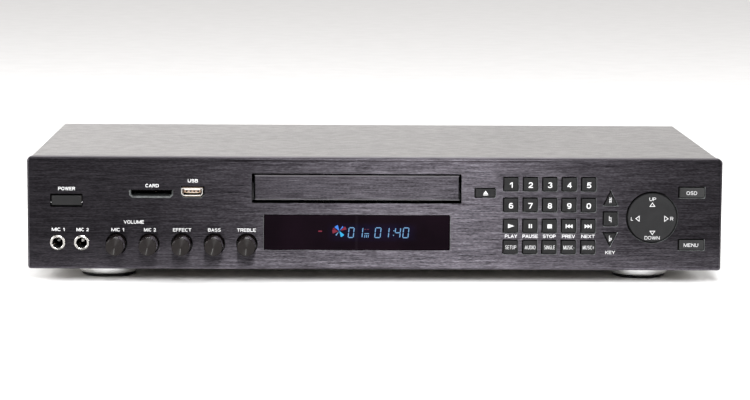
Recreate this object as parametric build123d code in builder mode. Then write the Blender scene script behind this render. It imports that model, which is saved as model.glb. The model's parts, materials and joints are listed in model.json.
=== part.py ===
from build123d import *
import math
import os

os.makedirs("parts", exist_ok=True)

# ---------------------------------------------------------------- frame
# X to the right, Y to the rear, Z up, millimetres.  The origin is under
# the middle of the unit, on the surface that it stands on.
FOOT_H = 8.0                # panel bottom above the floor
PANEL_W, PANEL_H, PANEL_T = 430.0, 69.6, 8.0
DEPTH = 220.0               # panel front to rear panel
KNOB_OUT = 15.5             # knob face in front of the panel
JACK_OUT = 8.5              # phono barrels behind the rear panel
YF = -(KNOB_OUT + DEPTH + JACK_OUT) / 2 + KNOB_OUT
ZB = FOOT_H


def front(d=0.0):
    """Plane facing the user, d behind the panel's front face; x = X, y = Z above the panel's bottom."""
    return Plane(origin=(0, YF + d, ZB), x_dir=(1, 0, 0), z_dir=(0, -1, 0))


def level(z):
    """Horizontal plane z above the panel's bottom; x = X, y = distance behind the panel's front."""
    return Plane(origin=(0, YF, ZB + z), x_dir=(1, 0, 0), z_dir=(0, 0, 1))


def save(p, name):
    p.label = name
    export_step(p, "parts/" + name + ".step")


# ---------------------------------------------------------------- driving dimensions
PLATE_T = 3.5               # panel thickness over the rear pocket
POCKET_W, POCKET_H = 424.0, 63.6
SHEET = 1.0
COVER_W = 429.0
COVER_TOP = 68.6
COVER_LOW = 0.8

TRAY_C = -11.65             # middle of the tray opening
TRAY_OPEN = (129.2, 18.0, 50.7)
DOOR = (127.0, 15.4, 51.1)
WINDOW = (115.4, 21.6, -11.42, 23.3)

KNOB_Z = 15.9
KNOBS = {
    "mic1_volume_knob": -160.1,
    "mic2_volume_knob": -139.9,
    "effect_knob": -119.7,
    "bass_knob": -99.6,
    "treble_knob": -79.5,
}
POINTERS = {                # lean of the pointer from straight down, degrees
    "mic1_volume_knob": -8.0,
    "mic2_volume_knob": -14.0,
    "effect_knob": -5.0,
    "bass_knob": -16.0,
    "treble_knob": -4.0,
}
KNOB_HOLE_R = 6.5
JACKS = [(-196.3, 16.4), (-181.5, 16.4)]
JACK_BORE_R = 3.2
JACK_DEPTH = 28.0

KEY_X = [83.7, 95.8, 107.8, 119.8, 131.9]
KEY_Z = [53.8, 40.9, 27.8, 14.6]
KEY_HOLE = (9.4, 8.9)
KEY_GAP = 0.35
KEY_TRAVEL = 0.8
KEY_OUT = 0.9               # key face in front of the panel

FLAT_KEYS = {               # name: (x, z, hole width, hole height)
    "key_1": (KEY_X[0], KEY_Z[0], *KEY_HOLE),
    "key_2": (KEY_X[1], KEY_Z[0], *KEY_HOLE),
    "key_3": (KEY_X[2], KEY_Z[0], *KEY_HOLE),
    "key_4": (KEY_X[3], KEY_Z[0], *KEY_HOLE),
    "key_5": (KEY_X[4], KEY_Z[0], *KEY_HOLE),
    "key_6": (KEY_X[0], KEY_Z[1], *KEY_HOLE),
    "key_7": (KEY_X[1], KEY_Z[1], *KEY_HOLE),
    "key_8": (KEY_X[2], KEY_Z[1], *KEY_HOLE),
    "key_9": (KEY_X[3], KEY_Z[1], *KEY_HOLE),
    "key_0": (KEY_X[4], KEY_Z[1], *KEY_HOLE),
    "key_play": (KEY_X[0], KEY_Z[2], *KEY_HOLE),
    "key_pause": (KEY_X[1], KEY_Z[2], *KEY_HOLE),
    "key_stop": (KEY_X[2], KEY_Z[2], *KEY_HOLE),
    "key_previous": (KEY_X[3], KEY_Z[2], *KEY_HOLE),
    "key_next": (KEY_X[4], KEY_Z[2], *KEY_HOLE),
    "key_setup": (KEY_X[0], KEY_Z[3], *KEY_HOLE),
    "key_audio": (KEY_X[1], KEY_Z[3], *KEY_HOLE),
    "key_single": (KEY_X[2], KEY_Z[3], *KEY_HOLE),
    "key_music_minus": (KEY_X[3], KEY_Z[3], *KEY_HOLE),
    "key_music_plus": (KEY_X[4], KEY_Z[3], *KEY_HOLE),
    "key_natural": (145.6, 32.4, 9.2, 9.0),
    "eject_button": (67.8, 48.4, 12.9, 6.0),
    "osd_button": (195.9, 49.0, 16.4, 7.1),
    "menu_button": (196.2, 16.3, 16.4, 7.1),
}
TRI_KEYS = {                # name: (x, base z, tip z)
    "key_sharp": (145.6, 40.6, 50.2),
    "key_flat": (145.6, 23.9, 14.9),
}
TRI_HALF = 4.7
POWER = (-190.7, 42.75, 19.6, 7.7)
POWER_TRAVEL = 2.5

CARD_SLOT = [(-150.8, 49.2), (-150.8, 46.9), (-149.8, 45.9), (-127.2, 45.9), (-126.2, 46.9), (-126.2, 49.2)]
CARD_BEVEL = [(-152.2, 49.5), (-152.2, 46.2), (-150.4, 44.4), (-126.6, 44.4), (-124.8, 46.2), (-124.8, 49.5)]
USB_C = (-113.1, 48.1)
USB_HOLE = [(USB_C[0] + a, USB_C[1] + b) for a, b in
            ((-7.2, 3.4), (-7.2, -1.6), (-5.4, -3.4), (5.4, -3.4), (7.2, -1.6), (7.2, 3.4))]
USB_SHELL = [(USB_C[0] + a, USB_C[1] + b) for a, b in
             ((-6.1, 2.95), (-6.1, -1.65), (-4.8, -2.95), (4.8, -2.95), (6.1, -1.65), (6.1, 2.95))]
USB_INNER = [(USB_C[0] + a, USB_C[1] + b) for a, b in
             ((-5.65, 2.5), (-5.65, -1.46), (-4.61, -2.5), (4.61, -2.5), (5.65, -1.46), (5.65, 2.5))]

NAV = (171.5, 33.3)
NAV_HOLE_R, NAV_R = 16.0, 15.4
NAV_PIVOT_Y = 9.6
NAV_POST = 12.5

SUB_Y0, SUB_Y1 = 5.9, 7.4   # guide plate behind the panel
PCB_Y0, PCB_Y1 = 14.0, 15.6 # front circuit board
STEM_R = 1.8
STEM_END = 8.5

FEET = [(-168.0, 36.0), (168.0, 36.0), (-168.0, 184.0), (168.0, 184.0)]
FOOT_R = 18.5

# disc loader
DISC_Y = 72.0               # spindle axis behind the panel's front
TRAY_HW = 62.0              # half width of the tray
TRAY_Z0, TRAY_Z1 = 45.2, 50.0
TRAY_Y0, TRAY_Y1 = 4.0, 182.0
SLOT_HW = 20.0
GEAR_M, GEAR_Z = 1.0, 16
GEAR_R = GEAR_M * GEAR_Z / 2
GEAR_POS = (30.0, 34.0)
MOTOR_POS = (-20.0, 34.0)
BACKLASH = 0.22
RACK_X = GEAR_POS[0] + GEAR_R
BELT_BIG, BELT_SMALL = 13.0, 4.0
DECK_Z0, DECK_Z1 = 28.0, 30.0
FRAME_HW, FRAME_Y0, FRAME_Y1 = 73.0, 18.0, 186.0
HINGE_Y, HINGE_Z = 172.0, 29.0


def tri_points(x, zb, zt, inset=0.0):
    """Corners of an upright or inverted triangle key, drawn in by inset on every side."""
    s = 1 if zt > zb else -1
    h = abs(zt - zb)
    side = math.hypot(TRI_HALF, h)
    k = inset * (side + TRI_HALF) / (TRI_HALF * h) * TRI_HALF
    half = TRI_HALF - inset * (side + TRI_HALF) / h
    tip = zt - s * inset * side / TRI_HALF
    return [(x - half, zb + s * inset), (x + half, zb + s * inset), (x, tip)]


# ---------------------------------------------------------------- front panel
with BuildPart() as front_panel:
    with BuildSketch(level(0)):
        with Locations((0, PANEL_T / 2)):
            Rectangle(PANEL_W, PANEL_T)
    extrude(amount=PANEL_H)
    fillet(front_panel.edges().filter_by(Axis.Z).group_by(Axis.Y)[0], radius=2.2)
    fillet(front_panel.edges().filter_by(Axis.Y).group_by(Axis.Z)[-1], radius=2.6)
    fillet(front_panel.edges().filter_by(Axis.Y).group_by(Axis.Z)[0], radius=1.6)
    # pocket behind the plate, with four lands for the fixing screws
    with BuildSketch(front(PANEL_T)):
        with Locations((0, PANEL_H / 2)):
            RectangleRounded(POCKET_W, POCKET_H, 3)
        with Locations((-190, 6.2), (-50, 6.2), (60, 6.2), (190, 6.2)):
            Rectangle(12, 7.2, mode=Mode.SUBTRACT)
    extrude(amount=PANEL_T - PLATE_T, mode=Mode.SUBTRACT)
    # openings
    with BuildSketch(front(-1)):
        with Locations((TRAY_C, TRAY_OPEN[2])):
            RectangleRounded(TRAY_OPEN[0], TRAY_OPEN[1], 0.6)
        with Locations((WINDOW[2], WINDOW[3])):
            RectangleRounded(WINDOW[0], WINDOW[1], 0.5)
        with Locations((POWER[0], POWER[1])):
            RectangleRounded(POWER[2], POWER[3], 0.5)
        with BuildLine():
            Polyline(*CARD_SLOT, close=True)
        make_face()
        with BuildLine():
            Polyline(*USB_HOLE, close=True)
        make_face()
        for x, z, w, h in FLAT_KEYS.values():
            with Locations((x, z)):
                RectangleRounded(w, h, 0.5)
        for x, zb, zt in TRI_KEYS.values():
            with BuildLine():
                Polyline(*tri_points(x, zb, zt), close=True)
            make_face()
        with Locations(NAV):
            Circle(NAV_HOLE_R)
        with Locations(*[(x, KNOB_Z) for x in KNOBS.values()]):
            Circle(KNOB_HOLE_R)
        with Locations(*JACKS):
            Circle(4.1)
    extrude(amount=-(PANEL_T + 2), mode=Mode.SUBTRACT)
    # wide bevel that leads a card into its slot
    with BuildSketch(front(0)):
        with BuildLine():
            Polyline(*CARD_BEVEL, close=True)
        make_face()
    with BuildSketch(front(1.6)):
        with BuildLine():
            Polyline(*CARD_SLOT, close=True)
        make_face()
    loft(ruled=True, mode=Mode.SUBTRACT)
    # broken edges round every opening
    face = front_panel.faces().filter_by(Axis.Y).sort_by(Axis.Y)[0]
    rims = [w for w in face.inner_wires() if abs(w.bounding_box().center().X + 138.5) > 1.5]
    chamfer(ShapeList([e for w in rims for e in w.edges()]), length=0.22)
    # screw holes in the lands
    with BuildSketch(front(PANEL_T)):
        with Locations((-190, 6.0), (-50, 6.0), (60, 6.0), (190, 6.0)):
            Circle(1.3)
    extrude(amount=5.5, mode=Mode.SUBTRACT)
save(front_panel.part, "front_panel")

# ---------------------------------------------------------------- display window
with BuildPart() as display_window:
    with BuildSketch(front(0.25)):
        with Locations((WINDOW[2], WINDOW[3])):
            RectangleRounded(WINDOW[0] - 0.3, WINDOW[1] - 0.3, 0.4)
    extrude(amount=-(PLATE_T - 0.25))
    with BuildSketch(front(PLATE_T)):
        with Locations((WINDOW[2], WINDOW[3])):
            Rectangle(WINDOW[0] + 3, WINDOW[1] + 3)
    extrude(amount=-1.5)
save(display_window.part, "display_window")

# ---------------------------------------------------------------- keys and buttons
def flat_key(name, x, z, w, h, out=KEY_OUT, stem_end=STEM_END, gap=KEY_GAP, soft=0.4):
    """A cap through the panel, a retaining flange behind it and a stem to its switch."""
    with BuildPart() as key:
        with BuildSketch(front(PLATE_T + 0.3)):
            with Locations((x, z)):
                RectangleRounded(w - 2 * gap, h - 2 * gap, 0.4)
        extrude(amount=PLATE_T + 0.3 + out)
        fillet(key.faces().sort_by(Axis.Y)[0].edges(), radius=soft)
        with BuildSketch(front(PLATE_T + 0.3)):
            with Locations((x, z)):
                Rectangle(w + 1.2, h + 1.4)
        extrude(amount=-1.0)
        with BuildSketch(front(PLATE_T + 1.3)):
            with Locations((x, z)):
                Circle(STEM_R)
        extrude(amount=-(stem_end - PLATE_T - 1.3))
    save(key.part, name)


for key_name, (kx, kz, kw, kh) in FLAT_KEYS.items():
    flat_key(key_name, kx, kz, kw, kh)

flat_key("power_button", *POWER, out=0.5, stem_end=11.2, gap=0.75, soft=0.5)


def tri_key(name, x, zb, zt):
    """A triangular cap with its own flange and stem."""
    zc = zb + (zt - zb) * 0.36
    with BuildPart() as key:
        with BuildSketch(front(PLATE_T + 0.3)):
            with BuildLine():
                Polyline(*tri_points(x, zb, zt, KEY_GAP), close=True)
            make_face()
        extrude(amount=PLATE_T + 0.3 + KEY_OUT)
        chamfer(key.faces().sort_by(Axis.Y)[0].edges(), length=0.3)
        with BuildSketch(front(PLATE_T + 0.3)):
            with Locations((x, zc)):
                Rectangle(8.4, 7.4)
        extrude(amount=-1.0)
        with BuildSketch(front(PLATE_T + 1.3)):
            with Locations((x, zc)):
                Circle(STEM_R)
        extrude(amount=-(STEM_END - PLATE_T - 1.3))
    save(key.part, name)


STEMS = [(x, z) for x, z, w, h in FLAT_KEYS.values()]
for key_name, (kx, kzb, kzt) in TRI_KEYS.items():
    tri_key(key_name, kx, kzb, kzt)
    STEMS.append((kx, kzb + (kzt - kzb) * 0.36))

# ---------------------------------------------------------------- navigation pad on its gimbal
with BuildPart() as nav_pad:
    with BuildSketch(front(3.0)):
        with Locations(NAV):
            Circle(NAV_R)
    extrude(amount=3.0 + 1.2)
    chamfer(nav_pad.faces().sort_by(Axis.Y)[0].edges(), length=0.5)
    with BuildSketch(front(3.0)):
        with Locations(NAV):
            Circle(NAV_R - 0.6)
    extrude(amount=-1.2)
    with BuildSketch(front(4.2)):
        with Locations(NAV):
            Circle(NAV_R + 1.4)
    extrude(amount=-1.0)
    # four feet that press the switches
    with BuildSketch(front(5.2)):
        with Locations(NAV):
            with PolarLocations(NAV_POST, 4):
                Circle(1.3)
    extrude(amount=-3.5)
    # two ears with the bores of the vertical pins
    with BuildSketch(front(5.2)):
        with Locations((NAV[0], NAV[1] + 5.5), (NAV[0], NAV[1] - 5.5)):
            Rectangle(3.6, 2.0)
    extrude(amount=-6.2)
    with BuildSketch(Plane(origin=(NAV[0], YF + NAV_PIVOT_Y, ZB + NAV[1] - 8), x_dir=(1, 0, 0), z_dir=(0, 0, 1))):
        Circle(1.05)
    extrude(amount=16, mode=Mode.SUBTRACT)
save(nav_pad.part, "nav_pad")

with BuildPart() as nav_pivot:
    with BuildSketch(front(NAV_PIVOT_Y - 1.5)):
        with Locations(NAV):
            Rectangle(5.0, 5.0)
    extrude(amount=-3.0)
    with BuildSketch(Plane(origin=(NAV[0], YF + NAV_PIVOT_Y, ZB + NAV[1] - 6.3), x_dir=(1, 0, 0), z_dir=(0, 0, 1))):
        Circle(1.0)
    extrude(amount=12.6)
    with BuildSketch(Plane(origin=(NAV[0] - 6.3, YF + NAV_PIVOT_Y, ZB + NAV[1]), x_dir=(0, 1, 0), z_dir=(1, 0, 0))):
        Circle(1.0)
    extrude(amount=12.6)
save(nav_pivot.part, "nav_pivot")

# ---------------------------------------------------------------- sub-panel that guides the keys
BOSSES = [(-168.5, 33.0), (-75.5, 33.0), (-89.5, 9.0 + 3.2), (62.0, 33.0), (62.0, 12.5),
          (155.5, 60.5), (203.0, 60.5), (152.8, 12.5), (185.5, 12.5), (76.0, 62.5)]
SWITCH_BOSSES = [(-200.5, 33.0), (-180.9, 33.0), (-200.5, 52.5), (-180.9, 52.5)]
with BuildPart() as front_subpanel:
    with BuildSketch(front(SUB_Y0)):
        with Locations((1.0, 38.3)):
            Rectangle(410.0, 55.8)
        with Locations((TRAY_C, 50.7)):
            Rectangle(131.5, 20.4, mode=Mode.SUBTRACT)
        with Locations((WINDOW[2], WINDOW[3])):
            Rectangle(121.0, 27.5, mode=Mode.SUBTRACT)
        with Locations((-190.0, 16.4)):
            Rectangle(36.0, 18.0, mode=Mode.SUBTRACT)
        with Locations((-138.5, 46.4)):
            Rectangle(30.0, 8.0, mode=Mode.SUBTRACT)
        with Locations((-113.1, 47.4)):
            Rectangle(17.0, 10.0, mode=Mode.SUBTRACT)
        with Locations(*[(x, KNOB_Z) for x in KNOBS.values()]):
            Circle(4.2, mode=Mode.SUBTRACT)
        with Locations(*STEMS):
            Circle(STEM_R + 0.35, mode=Mode.SUBTRACT)
        with Locations((POWER[0], POWER[1])):
            Rectangle(POWER[2] + 2.2, POWER[3] + 2.4, mode=Mode.SUBTRACT)
        with Locations(NAV):
            with PolarLocations(NAV_POST, 4):
                Circle(2.2, mode=Mode.SUBTRACT)
        with Locations((NAV[0], NAV[1] + 5.5), (NAV[0], NAV[1] - 5.5)):
            Rectangle(5.0, 3.4, mode=Mode.SUBTRACT)
    extrude(amount=-(SUB_Y1 - SUB_Y0))
    # bosses that carry the circuit board
    with BuildSketch(front(SUB_Y1)):
        with Locations(*BOSSES):
            Circle(2.6)
    extrude(amount=-(PCB_Y0 - SUB_Y1))
    with BuildSketch(front(SUB_Y1)):
        with Locations(*SWITCH_BOSSES):
            Circle(2.6)
    extrude(amount=-(24.0 - SUB_Y1))
    # shelf under the card and USB board
    with BuildSketch(front(SUB_Y1)):
        with Locations((-152.0, 40.8), (-127.0, 40.8), (-102.0, 40.8)):
            Rectangle(6.0, 1.6)
    extrude(amount=-18.0)
    # ears that hold the gimbal's horizontal pins
    with BuildSketch(front(SUB_Y1)):
        with Locations((NAV[0] - 5.5, NAV[1]), (NAV[0] + 5.5, NAV[1])):
            Rectangle(2.0, 3.6)
    extrude(amount=-4.0)
    with BuildSketch(Plane(origin=(NAV[0] - 8, YF + NAV_PIVOT_Y, ZB + NAV[1]), x_dir=(0, 1, 0), z_dir=(1, 0, 0))):
        Circle(1.05)
    extrude(amount=16, mode=Mode.SUBTRACT)
save(front_subpanel.part, "front_subpanel")

# ---------------------------------------------------------------- front circuit board
with BuildPart() as front_board:
    # one L-shaped board: controls and display on the left, keypad on the right
    with BuildSketch(front(PCB_Y0)):
        with Locations((-56.0, 22.5)):
            Rectangle(232.0, 31.0)
        with Locations((132.0, 35.5)):
            Rectangle(148.0, 57.0)
        with Locations(*BOSSES):
            Circle(1.4, mode=Mode.SUBTRACT)
    extrude(amount=-(PCB_Y1 - PCB_Y0))
    # tactile switches under the stems and the navigation pad
    nav_sw = [(NAV[0] + NAV_POST * a, NAV[1] + NAV_POST * b) for a, b in ((1, 0), (-1, 0), (0, 1), (0, -1))]
    with BuildSketch(front(PCB_Y0)):
        with Locations(*(STEMS + nav_sw)):
            Rectangle(6.0, 6.0)
    extrude(amount=3.5)
    with BuildSketch(front(PCB_Y0 - 3.5)):
        with Locations(*(STEMS + nav_sw)):
            Circle(1.7)
    extrude(amount=0.9)
    # potentiometer bodies, bored for the knob shafts
    with BuildSketch(front(PCB_Y0)):
        with Locations(*[(x, KNOB_Z) for x in KNOBS.values()]):
            Rectangle(10.0, 10.6)
    extrude(amount=6.2)
    with BuildSketch(front(PCB_Y0 - 6.2)):
        with Locations(*[(x, KNOB_Z) for x in KNOBS.values()]):
            Circle(3.9)
    extrude(amount=3.0)
    with BuildSketch(front(PCB_Y0 - 9.2)):
        with Locations(*[(x, KNOB_Z) for x in KNOBS.values()]):
            Circle(3.06)
    extrude(amount=-8.0, mode=Mode.SUBTRACT)
    # connector for the ribbon cable
    with BuildSketch(front(PCB_Y1)):
        with Locations((150.0, 35.0)):
            Rectangle(30.0, 6.0)
    extrude(amount=-5.0)
    # power switch on its own small board, further back
    with BuildSketch(front(24.0)):
        with Locations((POWER[0], POWER[1])):
            Rectangle(25.0, 25.0)
        with Locations(*SWITCH_BOSSES):
            Circle(1.4, mode=Mode.SUBTRACT)
    extrude(amount=-1.6)
    with BuildSketch(front(24.0)):
        with Locations((POWER[0], POWER[1])):
            Rectangle(12.0, 9.0)
    extrude(amount=9.0)
    with BuildSketch(front(15.0)):
        with Locations((POWER[0], POWER[1])):
            Rectangle(4.0, 3.0)
    extrude(amount=0.8)
    # display tube, a flat glass envelope standing off the board
    with BuildSketch(front(6.2)):
        with Locations((WINDOW[2], WINDOW[3])):
            Rectangle(108.0, 19.0)
    extrude(amount=-7.75)
save(front_board.part, "front_board")

# ---------------------------------------------------------------- knobs
for knob_name, kx in KNOBS.items():
    with BuildPart() as knob:
        axis_plane = Plane(origin=(kx, YF, ZB + KNOB_Z), x_dir=(1, 0, 0), z_dir=(0, 0, 1))
        with BuildSketch(axis_plane):
            with BuildLine():
                Polyline((0, -KNOB_OUT), (5.0, -KNOB_OUT), (5.4, -KNOB_OUT + 0.25), (5.55, -KNOB_OUT + 0.7), (5.85, 1.5), (0, 1.5), close=True)
            make_face()
        revolve(axis=Axis((kx, YF, ZB + KNOB_Z), (0, 1, 0)))
        # pointer groove from the middle of the face to its edge
        lean = math.radians(POINTERS[knob_name])
        with BuildSketch(Plane(origin=(kx, YF - KNOB_OUT, ZB + KNOB_Z), x_dir=(math.cos(lean), 0, math.sin(lean)), z_dir=(0, -1, 0))):
            with Locations((0, -3.4)):
                Rectangle(0.8, 5.4)
        extrude(amount=-0.45, mode=Mode.SUBTRACT)
        with BuildSketch(Plane(origin=(kx, YF, ZB + KNOB_Z), x_dir=(1, 0, 0), z_dir=(0, -1, 0))):
            Circle(3.0)
        extrude(amount=-12.0)
    save(knob.part, knob_name)

# ---------------------------------------------------------------- microphone jacks
with BuildPart() as microphone_jacks:
    for jx, jz in JACKS:
        # moulded body with a bushing through the panel
        with BuildSketch(front(PLATE_T)):
            with Locations((jx, jz)):
                Rectangle(13.0, 13.0)
        extrude(amount=-26.0)
        with BuildSketch(front(-0.2)):
            with Locations((jx, jz)):
                Circle(4.0)
        extrude(amount=-(PLATE_T + 1.2))
        with BuildSketch(front(-0.2)):
            with Locations((jx, jz)):
                Circle(JACK_BORE_R)
        extrude(amount=-JACK_DEPTH, mode=Mode.SUBTRACT)
    for jx, jz in JACKS:
        # ring nut on the bushing
        with BuildSketch(front(-0.05)):
            with Locations((jx, jz)):
                Circle(4.75)
                Circle(4.05, mode=Mode.SUBTRACT)
        extrude(amount=1.15, mode=Mode.ADD)
save(microphone_jacks.part, "microphone_jacks")

# ---------------------------------------------------------------- card and USB sockets on their board
with BuildPart() as media_sockets:
    with BuildSketch(level(41.6)):
        with Locations((-127.5, 28.0)):
            Rectangle(62.0, 36.0)
    extrude(amount=1.6)
    # card socket housing with its slot, behind the panel
    with BuildSketch(front(PLATE_T + 0.1)):
        with Locations((-138.5, 46.9)):
            Rectangle(29.0, 6.4)
    extrude(amount=-28.0)
    with BuildSketch(front(10.0)):
        with Locations((-138.5, 43.5)):
            Rectangle(29.0, 1.0)
    extrude(amount=-21.0)
    with BuildSketch(front(PLATE_T)):
        with Locations((-138.5, 47.5)):
            Rectangle(24.6, 2.5)
    extrude(amount=-24.0, mode=Mode.SUBTRACT)
    # USB shell, open to the front, with its tongue
    with BuildSketch(front(-0.1)):
        with BuildLine():
            Polyline(*USB_SHELL, close=True)
        make_face()
        with BuildLine():
            Polyline(*USB_INNER, close=True)
        make_face(mode=Mode.SUBTRACT)
    extrude(amount=-14.0)
    with BuildSketch(front(0.6)):
        with Locations((USB_C[0], USB_C[1] + 1.05)):
            Rectangle(10.2, 1.7)
    extrude(amount=-14.0)
    with BuildSketch(front(13.0)):
        with Locations((USB_C[0], 47.0)):
            Rectangle(12.2, 8.1)
    extrude(amount=-3.0)
    with BuildSketch(front(10.0)):
        with Locations((USB_C[0], 44.2)):
            Rectangle(9.4, 2.2)
    extrude(amount=-4.0)
save(media_sockets.part, "media_sockets")

# ---------------------------------------------------------------- base chassis
RCA = [(118.0 + 15.0 * i, 22.0 + 16.0 * j) for i in range(4) for j in range(2)]
INLET = (-172.0, 24.0)
SIDE_SCREWS_Y = (45.0, 185.0)
with BuildPart() as base_chassis:
    with BuildSketch(level(COVER_LOW)):
        with Locations((0, (8.0 + DEPTH) / 2)):
            Rectangle(426.8, DEPTH - 8.0)
        with Locations(*FEET):
            Circle(2.2, mode=Mode.SUBTRACT)
        # floor vents under the boards
        with Locations((150.0, 120.0)):
            with GridLocations(8.0, 34.0, 9, 2):
                SlotOverall(28.0, 3.0, rotation=90, mode=Mode.SUBTRACT)
        with Locations((-150.0, 110.0)):
            with GridLocations(8.0, 34.0, 7, 2):
                SlotOverall(28.0, 3.0, rotation=90, mode=Mode.SUBTRACT)
    extrude(amount=SHEET)
    # rear panel, folded up
    with BuildSketch(front(DEPTH)):
        with Locations((0, (COVER_LOW + 67.4) / 2)):
            Rectangle(426.8, 67.4 - COVER_LOW)
        with Locations(*RCA):
            Circle(4.5, mode=Mode.SUBTRACT)
        with Locations(INLET):
            RectangleRounded(21.0, 13.0, 4.0, mode=Mode.SUBTRACT)
        with Locations((-60.0, 36.0)):
            with GridLocations(7.0, 1.0, 13, 1):
                SlotOverall(30.0, 3.0, rotation=90, mode=Mode.SUBTRACT)
        with Locations((-120, 63.0), (0, 63.0), (120, 63.0)):
            Circle(1.6, mode=Mode.SUBTRACT)
    extrude(amount=SHEET)
    # side flanges
    for s in (-1, 1):
        with BuildSketch(Plane(origin=(s * 213.4, YF, ZB), x_dir=(0, 1, 0), z_dir=(1, 0, 0))):
            with Locations(((8.0 + DEPTH) / 2, (COVER_LOW + 14.0) / 2)):
                Rectangle(DEPTH - 8.0, 14.0 - COVER_LOW)
            with Locations(*[(y, 8.0) for y in SIDE_SCREWS_Y]):
                Circle(1.3, mode=Mode.SUBTRACT)
        extrude(amount=-s * SHEET)
    # front flange that the panel is screwed to
    with BuildSketch(front(9.0)):
        with Locations((0, (COVER_LOW + 9.2) / 2)):
            Rectangle(426.8, 9.2 - COVER_LOW)
        with Locations((-190, 6.0), (-50, 6.0), (60, 6.0), (190, 6.0)):
            Circle(1.6, mode=Mode.SUBTRACT)
    extrude(amount=SHEET)
    # posts under the loader and the boards
    loader_posts = [(TRAY_C - 66.0, 26.0), (TRAY_C + 66.0, 26.0), (TRAY_C - 66.0, 178.0), (TRAY_C + 66.0, 178.0)]
    with BuildSketch(level(COVER_LOW + SHEET)):
        with Locations(*loader_posts):
            Circle(4.0)
            Circle(1.3, mode=Mode.SUBTRACT)
    extrude(amount=12.0 - COVER_LOW - SHEET)
    board_posts = [(82, 66), (200, 66), (82, 198), (200, 198), (-200, 96), (-112, 96), (-200, 198), (-112, 198)]
    with BuildSketch(level(COVER_LOW + SHEET)):
        with Locations(*board_posts):
            Circle(3.0)
            Circle(1.2, mode=Mode.SUBTRACT)
    extrude(amount=8.0 - COVER_LOW - SHEET)
save(base_chassis.part, "base_chassis")

# ---------------------------------------------------------------- top cover
with BuildPart() as top_cover:
    hw = COVER_W / 2
    with BuildSketch(front(PANEL_T + 0.05)):
        with Locations((0, (COVER_LOW + COVER_TOP) / 2)):
            Rectangle(COVER_W, COVER_TOP - COVER_LOW)
        with Locations((0, (COVER_LOW + COVER_TOP - SHEET) / 2 - 1)):
            Rectangle(COVER_W - 2 * SHEET, COVER_TOP - COVER_LOW - SHEET + 2, mode=Mode.SUBTRACT)
    extrude(amount=-(DEPTH + 1.1 - PANEL_T - 0.05))
    # the bends along both sides
    fillet(top_cover.edges().filter_by(Axis.Y).group_by(Axis.Z)[-1], radius=1.6)
    # rear lip folded down over the rear panel
    with BuildSketch(front(DEPTH + 0.1)):
        with Locations((0, (57.5 + COVER_TOP - SHEET) / 2)):
            Rectangle(COVER_W - 12.0, COVER_TOP - SHEET - 57.5)
        with Locations((-120, 63.0), (0, 63.0), (120, 63.0)):
            Circle(1.6, mode=Mode.SUBTRACT)
    extrude(amount=-1.0)
    # side vents and screw holes
    with BuildSketch(Plane(origin=(-hw - 1, YF, ZB), x_dir=(0, 1, 0), z_dir=(1, 0, 0))):
        with Locations((130.0, 36.0)):
            with GridLocations(6.0, 1.0, 15, 1):
                SlotOverall(26.0, 2.6, rotation=90)
        with Locations(*[(y, 8.0) for y in SIDE_SCREWS_Y]):
            Circle(1.7)
    extrude(amount=COVER_W + 2, mode=Mode.SUBTRACT)
save(top_cover.part, "top_cover")

# ---------------------------------------------------------------- feet
with BuildPart() as feet:
    for fx, fy in FEET:
        foot_plane = Plane(origin=(fx, YF + fy, ZB), x_dir=(1, 0, 0), z_dir=(0, -1, 0))
        foot_axis = Axis((fx, YF + fy, ZB), (0, 0, 1))
        # plated ring, hollow below for the pad
        with BuildSketch(foot_plane):
            with BuildLine():
                Polyline((2.4, COVER_LOW), (18.0, COVER_LOW), (18.5, 0.3), (18.5, -5.0), (17.9, -5.8),
                         (16.9, -6.0), (16.9, -3.0), (2.4, -3.0), close=True)
            make_face()
        revolve(axis=foot_axis)
    for fx, fy in FEET:
        foot_plane = Plane(origin=(fx, YF + fy, ZB), x_dir=(1, 0, 0), z_dir=(0, -1, 0))
        foot_axis = Axis((fx, YF + fy, ZB), (0, 0, 1))
        # rubber pad
        with BuildSketch(foot_plane):
            with BuildLine():
                Polyline((4.5, -3.05), (16.8, -3.05), (16.8, -7.2), (16.2, -8.0), (4.5, -8.0), close=True)
            make_face()
        revolve(axis=foot_axis)
save(feet.part, "feet")

# ---------------------------------------------------------------- rear sockets
with BuildPart() as rear_sockets:
    # phono block behind the rear panel, barrels through it
    with BuildSketch(front(DEPTH - SHEET - 12.0)):
        with Locations((140.5, 30.0)):
            Rectangle(60.0, 30.0)
    extrude(amount=-11.95)
    with BuildSketch(front(DEPTH - SHEET - 1.0)):
        with Locations(*RCA):
            Circle(4.15)
    extrude(amount=-(JACK_OUT + SHEET + 1.0))
    with BuildSketch(front(DEPTH + JACK_OUT)):
        with Locations(*RCA):
            Circle(1.7)
    extrude(amount=12.0, mode=Mode.SUBTRACT)
    # two-pin mains inlet with its flange outside the panel
    with BuildSketch(front(DEPTH + 2.05)):
        with Locations(INLET):
            RectangleRounded(26.0, 17.0, 5.0)
    extrude(amount=2.0)
    with BuildSketch(front(DEPTH + 1.0)):
        with Locations(INLET):
            RectangleRounded(20.4, 12.4, 3.7)
    extrude(amount=18.0)
    with BuildSketch(front(DEPTH + 2.1)):
        with Locations(INLET):
            SlotOverall(17.0, 8.4)
    extrude(amount=15.5, mode=Mode.SUBTRACT)
    with BuildSketch(front(DEPTH - 13.5)):
        with Locations((INLET[0] - 4.3, INLET[1]), (INLET[0] + 4.3, INLET[1])):
            Circle(1.2)
    extrude(amount=-12.0)
save(rear_sockets.part, "rear_sockets")

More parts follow.
